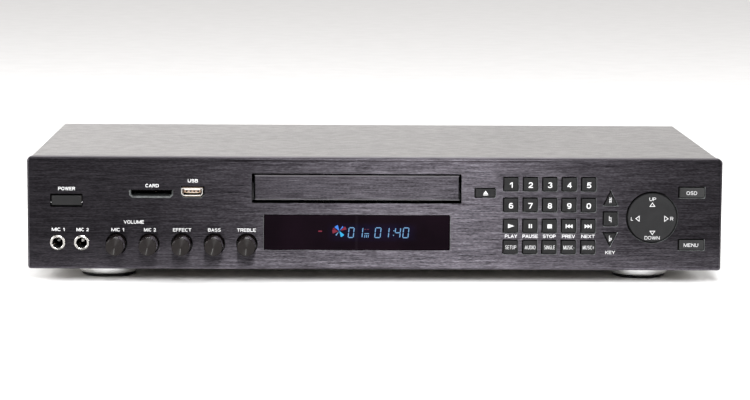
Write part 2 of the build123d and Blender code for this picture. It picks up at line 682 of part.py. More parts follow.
# ---------------------------------------------------------------- main and power boards
with BuildPart() as main_board:
    with BuildSketch(level(8.0)):
        with Locations((141.0, 132.0)):
            Rectangle(130.0, 146.0)
        with Locations(*board_posts[:4]):
            Circle(1.5, mode=Mode.SUBTRACT)
    extrude(amount=1.6)
    with BuildSketch(level(9.6)):
        with Locations((140.0, 130.0)):
            Rectangle(28.0, 28.0)
        with Locations((110.0, 100.0)):
            Rectangle(18.0, 10.0)
        with Locations((175.0, 100.0)):
            Rectangle(12.0, 22.0)
    extrude(amount=2.0)
    # finned heatsink on the decoder
    with BuildSketch(level(11.6)):
        with Locations((140.0, 130.0)):
            Rectangle(24.0, 24.0)
    extrude(amount=2.0)
    with BuildSketch(level(13.6)):
        with Locations((140.0, 130.0)):
            with GridLocations(4.0, 1.0, 6, 1):
                Rectangle(1.4, 24.0)
    extrude(amount=7.0)
    with BuildSketch(level(9.6)):
        with Locations((100, 160), (112, 160), (124, 172), (180, 160), (192, 150)):
            Circle(4.0)
    extrude(amount=11.0)
    with BuildSketch(level(9.6)):
        with Locations((150.0, 72.0)):
            Rectangle(30.0, 6.0)
        with Locations((86.0, 130.0)):
            Rectangle(6.0, 28.0)
    extrude(amount=6.0)
save(main_board.part, "main_board")

with BuildPart() as power_board:
    with BuildSketch(level(8.0)):
        with Locations((-156.0, 147.0)):
            Rectangle(100.0, 116.0)
        with Locations(*board_posts[4:]):
            Circle(1.5, mode=Mode.SUBTRACT)
    extrude(amount=1.6)
    with BuildSketch(level(9.6)):
        with Locations((-150.0, 125.0)):
            Rectangle(44.0, 36.0)
    extrude(amount=34.0)
    with BuildSketch(level(14.0)):
        with Locations((-150.0, 125.0)):
            Rectangle(30.0, 50.0)
    extrude(amount=25.0)
    with BuildSketch(level(9.6)):
        with Locations((-182, 165), (-164, 168), (-128, 176)):
            Circle(6.5)
    extrude(amount=22.0)
    with BuildSketch(level(9.6)):
        with Locations((-194.0, 120.0)):
            Rectangle(3.0, 40.0)
    extrude(amount=28.0)
    # output connector and mains terminal block
    with BuildSketch(level(9.6)):
        with Locations((-114.0, 140.0)):
            Rectangle(6.0, 28.0)
    extrude(amount=6.0)
    with BuildSketch(level(9.6)):
        with Locations((-172.0, 188.0)):
            Rectangle(16.0, 8.0)
    extrude(amount=12.0)
save(power_board.part, "power_board")

# ---------------------------------------------------------------- internal cables
with BuildPart() as internal_cables:
    # ribbon from the front board to the main board
    with BuildSketch(Plane(origin=(136.0, YF, ZB), x_dir=(0, 1, 0), z_dir=(1, 0, 0))):
        with BuildLine() as run:
            FilletPolyline((21.2, 35.0), (38.0, 35.0), (46.0, 20.0), (72.0, 20.0), (72.0, 16.2), radius=3.0)
        trace(line_width=0.9)
    extrude(amount=28.0)
    # ribbon from the power board to the main board, laid under the loader
    with BuildSketch(Plane(origin=(0, YF + 150.0, ZB), x_dir=(1, 0, 0), z_dir=(0, -1, 0))):
        with BuildLine() as run:
            FilletPolyline((-114.0, 16.2), (-114.0, 22.0), (-98.0, 22.0), (-98.0, 5.0), (68.0, 5.0), (68.0, 22.0),
                           (86.0, 22.0), (86.0, 16.2), radius=2.5)
        trace(line_width=0.9)
    extrude(amount=20.0)
    # mains leads from the inlet to the terminal block
    with BuildSketch(front(192.1)):
        with Locations((-176.3, 19.6), (-167.7, 19.6)):
            Circle(1.1)
    extrude(amount=-10.8)
save(internal_cables.part, "internal_cables")

# ---------------------------------------------------------------- loader frame
wall_x = [TRAY_C - FRAME_HW, TRAY_C + FRAME_HW]
with BuildPart() as loader_frame:
    fy_mid = (FRAME_Y0 + FRAME_Y1) / 2
    fy_len = FRAME_Y1 - FRAME_Y0
    # side walls
    with BuildSketch(level(12.0)):
        with Locations((TRAY_C - FRAME_HW + 1.5, fy_mid), (TRAY_C + FRAME_HW - 1.5, fy_mid)):
            Rectangle(3.0, fy_len)
    extrude(amount=41.0)
    # lugs on the posts
    with BuildSketch(level(12.0)):
        with Locations(*loader_posts):
            Rectangle(14.0, 14.0)
            Circle(1.7, mode=Mode.SUBTRACT)
    extrude(amount=2.5)
    # guide rails, grooved for the tray's edges
    with BuildSketch(level(41.0)):
        with Locations((TRAY_C - FRAME_HW + 7.0, fy_mid), (TRAY_C + FRAME_HW - 7.0, fy_mid)):
            Rectangle(14.0, fy_len)
    extrude(amount=12.0)
    with BuildSketch(level(TRAY_Z0 - 0.3)):
        with Locations((TRAY_C, fy_mid)):
            Rectangle(2 * TRAY_HW + 0.8, fy_len + 2)
    extrude(amount=TRAY_Z1 - TRAY_Z0 + 0.7, mode=Mode.SUBTRACT)
    # deck with the opening for the traverse and the motor's hole
    with BuildSketch(level(DECK_Z0)):
        with Locations((TRAY_C, fy_mid)):
            Rectangle(2 * FRAME_HW, fy_len)
        with Locations((TRAY_C, 116.0)):
            Rectangle(74.0, 132.0, mode=Mode.SUBTRACT)
        with Locations(MOTOR_POS):
            Circle(4.5, mode=Mode.SUBTRACT)
    extrude(amount=DECK_Z1 - DECK_Z0)
    # axle of the pulley and pinion
    with BuildSketch(level(DECK_Z1)):
        with Locations(GEAR_POS):
            Circle(3.5)
    extrude(amount=2.5)
    with BuildSketch(level(DECK_Z1)):
        with Locations(GEAR_POS):
            Circle(1.5)
    extrude(amount=14.5)
    # ears for the traverse's hinge pins
    with BuildSketch(level(24.0)):
        with Locations((TRAY_C - 39.5, HINGE_Y), (TRAY_C + 39.5, HINGE_Y)):
            Rectangle(5.0, 9.0)
    extrude(amount=10.0)
    with BuildSketch(Plane(origin=(TRAY_C - 45, YF + HINGE_Y, ZB + HINGE_Z), x_dir=(0, 1, 0), z_dir=(1, 0, 0))):
        Circle(2.05)
    extrude(amount=90, mode=Mode.SUBTRACT)
save(loader_frame.part, "loader_frame")

with BuildPart() as clamp_bridge:
    with BuildSketch(level(54.6)):
        with Locations((TRAY_C, DISC_Y)):
            Rectangle(2 * FRAME_HW, 36.0)
            Circle(11.5, mode=Mode.SUBTRACT)
    extrude(amount=1.6)
    with BuildSketch(level(53.0)):
        with Locations((TRAY_C - FRAME_HW + 6.0, DISC_Y), (TRAY_C + FRAME_HW - 6.0, DISC_Y)):
            Rectangle(12.0, 36.0)
    extrude(amount=1.6)
    # stiffening ribs
    with BuildSketch(level(56.2)):
        with Locations((TRAY_C, DISC_Y - 17.0), (TRAY_C, DISC_Y + 17.0)):
            Rectangle(2 * FRAME_HW, 2.0)
    extrude(amount=3.0)
    with BuildSketch(level(53.0)):
        with Locations((TRAY_C - 66.0, DISC_Y - 10), (TRAY_C + 66.0, DISC_Y - 10), (TRAY_C - 66.0, DISC_Y + 10), (TRAY_C + 66.0, DISC_Y + 10)):
            Circle(1.6)
    extrude(amount=4.0, mode=Mode.SUBTRACT)
save(clamp_bridge.part, "clamp_bridge")

with BuildPart() as clamp_puck:
    with BuildSketch(level(50.7)):
        with Locations((TRAY_C, DISC_Y)):
            Circle(15.0)
            Circle(8.4, mode=Mode.SUBTRACT)
    extrude(amount=2.6)
    with BuildSketch(level(52.8)):
        with Locations((TRAY_C, DISC_Y)):
            Circle(10.8)
    extrude(amount=3.8)
    with BuildSketch(level(56.6)):
        with Locations((TRAY_C, DISC_Y)):
            Circle(13.6)
    extrude(amount=1.4)
save(clamp_puck.part, "clamp_puck")

# ---------------------------------------------------------------- loading drive
with BuildPart() as loader_motor:
    with BuildSketch(level(10.0)):
        with Locations(MOTOR_POS):
            Circle(11.5)
    extrude(amount=18.0)
    with BuildSketch(level(27.4)):
        with Locations(MOTOR_POS):
            Circle(3.0)
    extrude(amount=3.5)
    with BuildSketch(level(30.9)):
        with Locations(MOTOR_POS):
            Circle(1.06)
    extrude(amount=-6.0, mode=Mode.SUBTRACT)
save(loader_motor.part, "loader_motor")

with BuildPart() as motor_pulley:
    with BuildSketch(level(25.2)):
        with Locations(MOTOR_POS):
            Circle(1.0)
    extrude(amount=13.0)
    with BuildSketch(Plane(origin=(MOTOR_POS[0], YF + MOTOR_POS[1], ZB), x_dir=(1, 0, 0), z_dir=(0, -1, 0))):
        with BuildLine():
            Polyline((0.5, 32.6), (4.6, 32.6), (4.6, 33.6), (2.9, 34.6), (2.9, 36.4), (4.6, 37.4), (4.6, 38.4), (0.5, 38.4), close=True)
        make_face()
    revolve(axis=Axis((MOTOR_POS[0], YF + MOTOR_POS[1], ZB), (0, 0, 1)))
save(motor_pulley.part, "motor_pulley")


def gear_points(teeth, module, backlash, pressure=20.0):
    """Outline of an involute spur gear, one tooth on the +x axis."""
    rp = teeth * module / 2
    rb = rp * math.cos(math.radians(pressure))
    ra, rf = rp + 0.9 * module, rp - 1.25 * module
    inv = lambda a: math.tan(a) - a
    half = math.pi / (2 * teeth) - backlash / (2 * rp) + inv(math.radians(pressure))
    pts = []
    for i in range(teeth):
        c = 2 * math.pi * i / teeth
        flank = []
        for k in range(5):
            r = max(rb, rf) + (ra - max(rb, rf)) * k / 4
            a = half - inv(math.acos(min(1.0, rb / r)))
            flank.append((r, a))
        pts.append((rf, c - flank[0][1]))
        pts += [(r, c - a) for r, a in flank]
        pts += [(r, c + a) for r, a in reversed(flank)]
        pts.append((rf, c + flank[0][1]))
    return [(r * math.cos(a), r * math.sin(a)) for r, a in pts]


with BuildPart() as pulley_gear:
    # grooved pulley
    with BuildSketch(Plane(origin=(GEAR_POS[0], YF + GEAR_POS[1], ZB), x_dir=(1, 0, 0), z_dir=(0, -1, 0))):
        with BuildLine():
            Polyline((1.56, 32.9), (13.6, 32.9), (13.6, 33.8), (11.9, 34.6), (11.9, 36.4), (13.6, 37.2), (13.6, 38.1),
                     (6.0, 38.1), (6.0, 41.4), (1.56, 41.4), close=True)
        make_face()
    revolve(axis=Axis((GEAR_POS[0], YF + GEAR_POS[1], ZB), (0, 0, 1)))
    # pinion
    with BuildSketch(Plane(origin=(GEAR_POS[0], YF + GEAR_POS[1], ZB + 41.3), x_dir=(1, 0, 0), z_dir=(0, 0, 1))):
        with BuildLine():
            Polyline(*gear_points(GEAR_Z, GEAR_M, BACKLASH), close=True)
        make_face()
        Circle(1.56, mode=Mode.SUBTRACT)
    extrude(amount=3.5)
save(pulley_gear.part, "pulley_gear")

with BuildPart() as drive_belt:
    # square belt round both pulleys, open run tangent to both
    dx = GEAR_POS[0] - MOTOR_POS[0]
    tilt = math.asin((BELT_BIG - BELT_SMALL) / dx)


    def belt_outline(extra):
        r1, r2 = BELT_BIG + extra, BELT_SMALL + extra
        s, c = math.sin(tilt), math.cos(tilt)
        gx, gy = GEAR_POS
        mx, my = MOTOR_POS
        a1, a2 = (gx - r1 * s, gy + r1 * c), (gx - r1 * s, gy - r1 * c)
        b1, b2 = (mx - r2 * s, my + r2 * c), (mx - r2 * s, my - r2 * c)
        Line(a1, b1)
        ThreePointArc(b1, (mx - r2, my), b2)
        Line(b2, a2)
        ThreePointArc(a2, (gx + r1, gy), a1)

    with BuildSketch(level(34.8)):
        with BuildLine():
            belt_outline(0.8)
        make_face()
        with BuildLine():
            belt_outline(-0.7)
        make_face(mode=Mode.SUBTRACT)
    extrude(amount=1.4)
save(drive_belt.part, "drive_belt")

# ---------------------------------------------------------------- disc tray and door
with BuildPart() as disc_tray:
    with BuildSketch(level(TRAY_Z0)):
        with Locations((TRAY_C, (TRAY_Y0 + TRAY_Y1) / 2)):
            Rectangle(2 * TRAY_HW, TRAY_Y1 - TRAY_Y0)
    extrude(amount=TRAY_Z1 - TRAY_Z0)
    # disc well, with the step for small discs
    with BuildSketch(level(TRAY_Z1)):
        with Locations((TRAY_C, DISC_Y)):
            Circle(60.6)
    extrude(amount=-2.2, mode=Mode.SUBTRACT)
    with BuildSketch(level(TRAY_Z1 - 2.2)):
        with Locations((TRAY_C, DISC_Y)):
            Circle(40.6)
    extrude(amount=-0.9, mode=Mode.SUBTRACT)
    # slot for the turntable and the pickup, open to the rear
    with BuildSketch(level(TRAY_Z0)):
        with Locations((TRAY_C, (DISC_Y + TRAY_Y1 + 1) / 2)):
            Rectangle(2 * SLOT_HW, TRAY_Y1 + 1 - DISC_Y)
        with Locations((TRAY_C, DISC_Y)):
            Circle(SLOT_HW)
    extrude(amount=TRAY_Z1 - TRAY_Z0, mode=Mode.SUBTRACT)
    # rack under the right side
    with BuildSketch(level(42.2)):
        pitch = math.pi * GEAR_M
        n0 = math.ceil((TRAY_Y0 + 18.0 - GEAR_POS[1]) / pitch - 0.5)
        n1 = math.floor((TRAY_Y1 - 1.6 - GEAR_POS[1]) / pitch - 0.5)
        ht = pitch / 4 - BACKLASH / 2
        tan20 = math.tan(math.radians(20))
        xt, xr = RACK_X - 0.9, RACK_X + 1.25
        wt, wr = ht - 0.9 * tan20, ht + 1.25 * tan20
        rack = [(xr + 4.0, GEAR_POS[1] + (n0 + 0.5) * pitch - 1.5)]
        for n in range(n0, n1 + 1):
            yc = GEAR_POS[1] + (n + 0.5) * pitch
            rack += [(xr, yc - wr), (xt, yc - wt), (xt, yc + wt), (xr, yc + wr)]
        rack += [(xr + 4.0, GEAR_POS[1] + (n1 + 0.5) * pitch + 1.5)]
        with BuildLine():
            Polyline(*rack, close=True)
        make_face()
    extrude(amount=3.0)
save(disc_tray.part, "disc_tray")

with BuildPart() as tray_door:
    with BuildSketch(front(0.2)):
        with Locations((TRAY_C + 0.1, DOOR[2])):
            RectangleRounded(DOOR[0], DOOR[1], 1.0)
    extrude(amount=-3.8)
    chamfer(tray_door.faces().sort_by(Axis.Y)[0].edges(), length=0.7)
save(tray_door.part, "tray_door")

# ---------------------------------------------------------------- traverse, turntable and pickup
with BuildPart() as traverse_frame:
    with BuildSketch(level(30.5)):
        with Locations((TRAY_C, 114.5)):
            Rectangle(66.0, 121.0)
        with Locations((TRAY_C, 125.0)):
            Rectangle(40.0, 66.0, mode=Mode.SUBTRACT)
    extrude(amount=2.5)
    # hinge arms and pins
    with BuildSketch(level(26.5)):
        with Locations((TRAY_C - 32.0, HINGE_Y - 1), (TRAY_C + 32.0, HINGE_Y - 1)):
            Rectangle(6.0, 7.0)
    extrude(amount=5.0)
    with BuildSketch(Plane(origin=(TRAY_C - 41.5, YF + HINGE_Y, ZB + HINGE_Z), x_dir=(0, 1, 0), z_dir=(1, 0, 0))):
        Circle(2.0)
    extrude(amount=8.0)
    with BuildSketch(Plane(origin=(TRAY_C + 33.5, YF + HINGE_Y, ZB + HINGE_Z), x_dir=(0, 1, 0), z_dir=(1, 0, 0))):
        Circle(2.0)
    extrude(amount=8.0)
    # spindle motor
    with BuildSketch(level(33.0)):
        with Locations((TRAY_C, DISC_Y)):
            Circle(12.0)
    extrude(amount=10.5)
    with BuildSketch(level(43.5)):
        with Locations((TRAY_C, DISC_Y)):
            Circle(1.06)
    extrude(amount=-8.0, mode=Mode.SUBTRACT)
    # rod holders and guide rods
    with BuildSketch(level(33.0)):
        with Locations((TRAY_C - 19.0, 83.0), (TRAY_C + 19.0, 83.0), (TRAY_C - 19.0, 162.0), (TRAY_C + 19.0, 162.0)):
            Rectangle(6.0, 4.5)
    extrude(amount=7.0)
    for s in (-1, 1):
        with BuildSketch(Plane(origin=(TRAY_C + s * 19.0, YF + 81.0, ZB + 37.0), x_dir=(1, 0, 0), z_dir=(0, 1, 0))):
            Circle(1.5)
        extrude(amount=83.0)
save(traverse_frame.part, "traverse_frame")

with BuildPart() as turntable:
    with BuildSketch(Plane(origin=(TRAY_C, YF + DISC_Y, ZB), x_dir=(1, 0, 0), z_dir=(0, -1, 0))):
        with BuildLine():
            Polyline((0, 36.2), (1.0, 36.2), (1.0, 44.2), (5.0, 44.2), (5.0, 46.8), (15.0, 46.8), (15.0, 49.0),
                     (7.4, 49.0), (7.2, 50.2), (5.0, 51.6), (0, 51.6), close=True)
        make_face()
    revolve(axis=Axis((TRAY_C, YF + DISC_Y, ZB), (0, 0, 1)))
save(turntable.part, "turntable")

with BuildPart() as pickup_sled:
    with BuildSketch(level(34.0)):
        with Locations((TRAY_C, 105.5)):
            Rectangle(46.0, 33.0)
        with Locations((TRAY_C, 121.0)):
            Rectangle(20.0, 8.0, mode=Mode.SUBTRACT)
    extrude(amount=9.0)
    for s in (-1, 1):
        with BuildSketch(Plane(origin=(TRAY_C + s * 19.0, YF + 80.0, ZB + 37.0), x_dir=(1, 0, 0), z_dir=(0, 1, 0))):
            Circle(1.56)
        extrude(amount=60.0, mode=Mode.SUBTRACT)
    # lens in its holder
    with BuildSketch(level(43.0)):
        with Locations((TRAY_C, 97.0)):
            Rectangle(15.0, 12.0)
    extrude(amount=2.2)
    with BuildSketch(level(45.2)):
        with Locations((TRAY_C, 97.0)):
            Circle(3.6)
    extrude(amount=1.6)
save(pickup_sled.part, "pickup_sled")

# ---------------------------------------------------------------- screws
with BuildPart() as screws:
    # into the panel's lands, through the front flange
    with BuildSketch(front(9.05)):
        with Locations((-190, 6.0), (-50, 6.0), (60, 6.0), (190, 6.0)):
            Circle(2.7)
    extrude(amount=-1.8)
    with BuildSketch(front(9.05)):
        with Locations((-190, 6.0), (-50, 6.0), (60, 6.0), (190, 6.0)):
            Circle(1.25)
    extrude(amount=5.5)
    # through the rear lip
    with BuildSketch(front(DEPTH + 1.15)):
        with Locations((-120, 63.0), (0, 63.0), (120, 63.0)):
            Circle(3.0)
    extrude(amount=-1.9)
    with BuildSketch(front(DEPTH + 1.15)):
        with Locations((-120, 63.0), (0, 63.0), (120, 63.0)):
            Circle(1.5)
    extrude(amount=7.0)
    # through both sides of the cover
    for s in (-1, 1):
        with BuildSketch(Plane(origin=(s * (COVER_W / 2 + 0.03), YF, ZB), x_dir=(0, 1, 0), z_dir=(1, 0, 0))):
            with Locations(*[(y, 8.0) for y in SIDE_SCREWS_Y]):
                Circle(3.0)
        extrude(amount=s * 0.45)
        with BuildSketch(Plane(origin=(s * (COVER_W / 2 + 0.03), YF, ZB), x_dir=(0, 1, 0), z_dir=(1, 0, 0))):
            with Locations(*[(y, 8.0) for y in SIDE_SCREWS_Y]):
                Circle(1.25)
        extrude(amount=-s * 6.0)
    # loader frame to its posts
    with BuildSketch(level(14.55)):
        with Locations(*loader_posts):
            Circle(2.7)
    extrude(amount=1.8)
    with BuildSketch(level(14.55)):
        with Locations(*loader_posts):
            Circle(1.25)
    extrude(amount=-8.0)
    # boards to their posts
    with BuildSketch(level(9.65)):
        with Locations(*board_posts):
            Circle(2.6)
    extrude(amount=1.6)
    with BuildSketch(level(9.65)):
        with Locations(*board_posts):
            Circle(1.15)
    extrude(amount=-6.0)
save(screws.part, "screws")
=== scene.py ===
import json
import math

import bmesh
import bpy
from mathutils import Matrix, Vector
from mathutils.geometry import delaunay_2d_cdt


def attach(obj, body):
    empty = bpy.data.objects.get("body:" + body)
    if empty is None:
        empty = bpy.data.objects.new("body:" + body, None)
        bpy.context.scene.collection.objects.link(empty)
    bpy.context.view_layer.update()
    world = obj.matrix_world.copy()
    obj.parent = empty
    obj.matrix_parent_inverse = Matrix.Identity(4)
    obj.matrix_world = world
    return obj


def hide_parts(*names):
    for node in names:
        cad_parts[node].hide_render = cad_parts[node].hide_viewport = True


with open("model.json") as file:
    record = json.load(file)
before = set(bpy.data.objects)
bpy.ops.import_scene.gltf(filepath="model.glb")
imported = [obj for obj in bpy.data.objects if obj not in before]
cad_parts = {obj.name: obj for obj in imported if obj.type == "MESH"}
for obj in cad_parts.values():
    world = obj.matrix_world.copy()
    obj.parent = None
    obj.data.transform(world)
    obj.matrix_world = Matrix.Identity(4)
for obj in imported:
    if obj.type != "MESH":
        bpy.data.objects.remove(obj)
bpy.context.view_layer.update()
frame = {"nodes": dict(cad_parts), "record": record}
NODES = frame["nodes"]
SCENE = bpy.context.scene

# ------------------------------------------------------------------ frame
# Drawing units are millimetres in the panel's own frame: x from the middle,
# y behind the panel's front face, z above the panel's lower edge.
FACE_Y, FOOT_Z = -0.1065, 0.008


def P(x, y, z):
    return Vector((x / 1000.0, FACE_Y + y / 1000.0, FOOT_Z + z / 1000.0))


# ------------------------------------------------------------------ camera
def aim_camera():
    yaw, pitch, roll = math.radians(1.163), math.radians(7.267), math.radians(0.362)
    forward = Vector((math.sin(yaw) * math.cos(pitch), math.cos(yaw) * math.cos(pitch), -math.sin(pitch)))
    level = Vector((math.cos(yaw), -math.sin(yaw), 0.0))
    rise = level.cross(forward)
    right = math.cos(roll) * level + math.sin(roll) * rise
    up = -math.sin(roll) * level + math.cos(roll) * rise
    data = bpy.data.cameras.new("camera")
    data.lens = 122.0
    data.sensor_width = 36.0
    data.sensor_fit = "HORIZONTAL"
    data.clip_start = 0.01
    data.clip_end = 100.0
    cam = bpy.data.objects.new("camera", data)
    SCENE.collection.objects.link(cam)
    m = Matrix((
        (right.x, up.x, -forward.x, -0.0320),
        (right.y, up.y, -forward.y, -1.6649),
        (right.z, up.z, -forward.z, 0.2504),
        (0.0, 0.0, 0.0, 1.0),
    ))
    cam.matrix_world = m
    SCENE.camera = cam


aim_camera()
SCENE.view_settings.view_transform = "Standard"
SCENE.view_settings.look = "None"


# ------------------------------------------------------------------ node helpers
class Shade:
    """A material's node tree with short names for the nodes used here."""

    def __init__(self, name):
        self.mat = bpy.data.materials.new(name)
        self.mat.use_nodes = True
        self.tree = self.mat.node_tree
        self.tree.nodes.clear()
        self.out = self.tree.nodes.new("ShaderNodeOutputMaterial")
        self.coord = self.tree.nodes.new("ShaderNodeTexCoord")

    def node(self, kind, **attrs):
        n = self.tree.nodes.new(kind)
        for k, v in attrs.items():
            setattr(n, k, v)
        return n

    def put(self, socket, value):
        if isinstance(value, bpy.types.NodeSocket):
            self.tree.links.new(value, socket)
        else:
            socket.default_value = value

    def place(self, scale, rotation=(0, 0, 0), location=(0, 0, 0)):
        m = self.node("ShaderNodeMapping")
        self.put(m.inputs["Vector"], self.coord.outputs["Object"])
        m.inputs["Scale"].default_value = scale
        m.inputs["Rotation"].default_value = rotation
        m.inputs["Location"].default_value = location
        return m.outputs["Vector"]

    def noise(self, vector, scale=1.0, detail=2.0, rough=0.5, distortion=0.0):
        n = self.node("ShaderNodeTexNoise")
        self.put(n.inputs["Vector"], vector)
        n.inputs["Scale"].default_value = scale
        n.inputs["Detail"].default_value = detail
        n.inputs["Roughness"].default_value = rough
        n.inputs["Distortion"].default_value = distortion
        return n.outputs["Fac"]

    def voronoi(self, vector, scale=1.0, feature="F1"):
        n = self.node("ShaderNodeTexVoronoi", feature=feature)
        self.put(n.inputs["Vector"], vector)
        n.inputs["Scale"].default_value = scale
        return n.outputs["Distance"]

    def span(self, value, lo, hi, a=0.0, b=1.0, clamp=True):
        n = self.node("ShaderNodeMapRange", clamp=clamp)
        self.put(n.inputs["Value"], value)
        n.inputs["From Min"].default_value = a
        n.inputs["From Max"].default_value = b
        n.inputs["To Min"].default_value = lo
        n.inputs["To Max"].default_value = hi
        return n.outputs["Result"]

    def math(self, op, a, b=0.0, c=0.0):
        n = self.node("ShaderNodeMath", operation=op)
        self.put(n.inputs[0], a)
        self.put(n.inputs[1], b)
        if len(n.inputs) > 2:
            self.put(n.inputs[2], c)
        return n.outputs[0]

    def vmath(self, op, a, b=(0, 0, 0)):
        n = self.node("ShaderNodeVectorMath", operation=op)
        self.put(n.inputs[0], a)
        self.put(n.inputs[1], b)
        return n

    def mix(self, fac, a, b):
        n = self.node("ShaderNodeMix", data_type="RGBA")
        self.put(n.inputs["Factor"], fac)
        self.put(n.inputs[6], a)
        self.put(n.inputs[7], b)
        return n.outputs[2]

    def ramp(self, fac, stops):
        n = self.node("ShaderNodeValToRGB")
        el = n.color_ramp.elements
        while len(el) > 1:
            el.remove(el[-1])
        el[0].position, el[0].color = stops[0][0], (*stops[0][1], 1.0)
        for pos, col in stops[1:]:
            e = el.new(pos)
            e.color = (*col, 1.0)
        self.put(n.inputs["Fac"], fac)
        return n.outputs["Color"]

    def bump(self, height, strength=0.2, distance=0.0001, normal=None):
        n = self.node("ShaderNodeBump")
        self.put(n.inputs["Height"], height)
        n.inputs["Strength"].default_value = strength
        n.inputs["Distance"].default_value = distance
        if normal is not None:
            self.put(n.inputs["Normal"], normal)
        return n.outputs["Normal"]

    def shader(self, **values):
        b = self.node("ShaderNodeBsdfPrincipled")
        for k, v in values.items():
            key = {
                "color": "Base Color", "metallic": "Metallic", "rough": "Roughness", "ior": "IOR",
                "level": "Specular IOR Level", "aniso": "Anisotropic", "turn": "Anisotropic Rotation",
                "tangent": "Tangent", "normal": "Normal", "coat": "Coat Weight", "coat_rough": "Coat Roughness",
                "coat_normal": "Coat Normal", "sheen": "Sheen Weight", "sheen_rough": "Sheen Roughness",
                "glow": "Emission Color", "glow_strength": "Emission Strength", "alpha": "Alpha",
                "through": "Transmission Weight", "tint": "Specular Tint",
            }[k]
            self.put(b.inputs[key], v)
        self.tree.links.new(b.outputs["BSDF"], self.out.inputs["Surface"])
        return self.mat


def rgb(r, g, b):
    return (r, g, b, 1.0)


def two(dark, light, n, s, lo=0.35, hi=0.65):
    """Colour varied between two tones by a noise value."""
    return s.mix(s.span(n, 0.0, 1.0, lo, hi), rgb(*dark), rgb(*light))


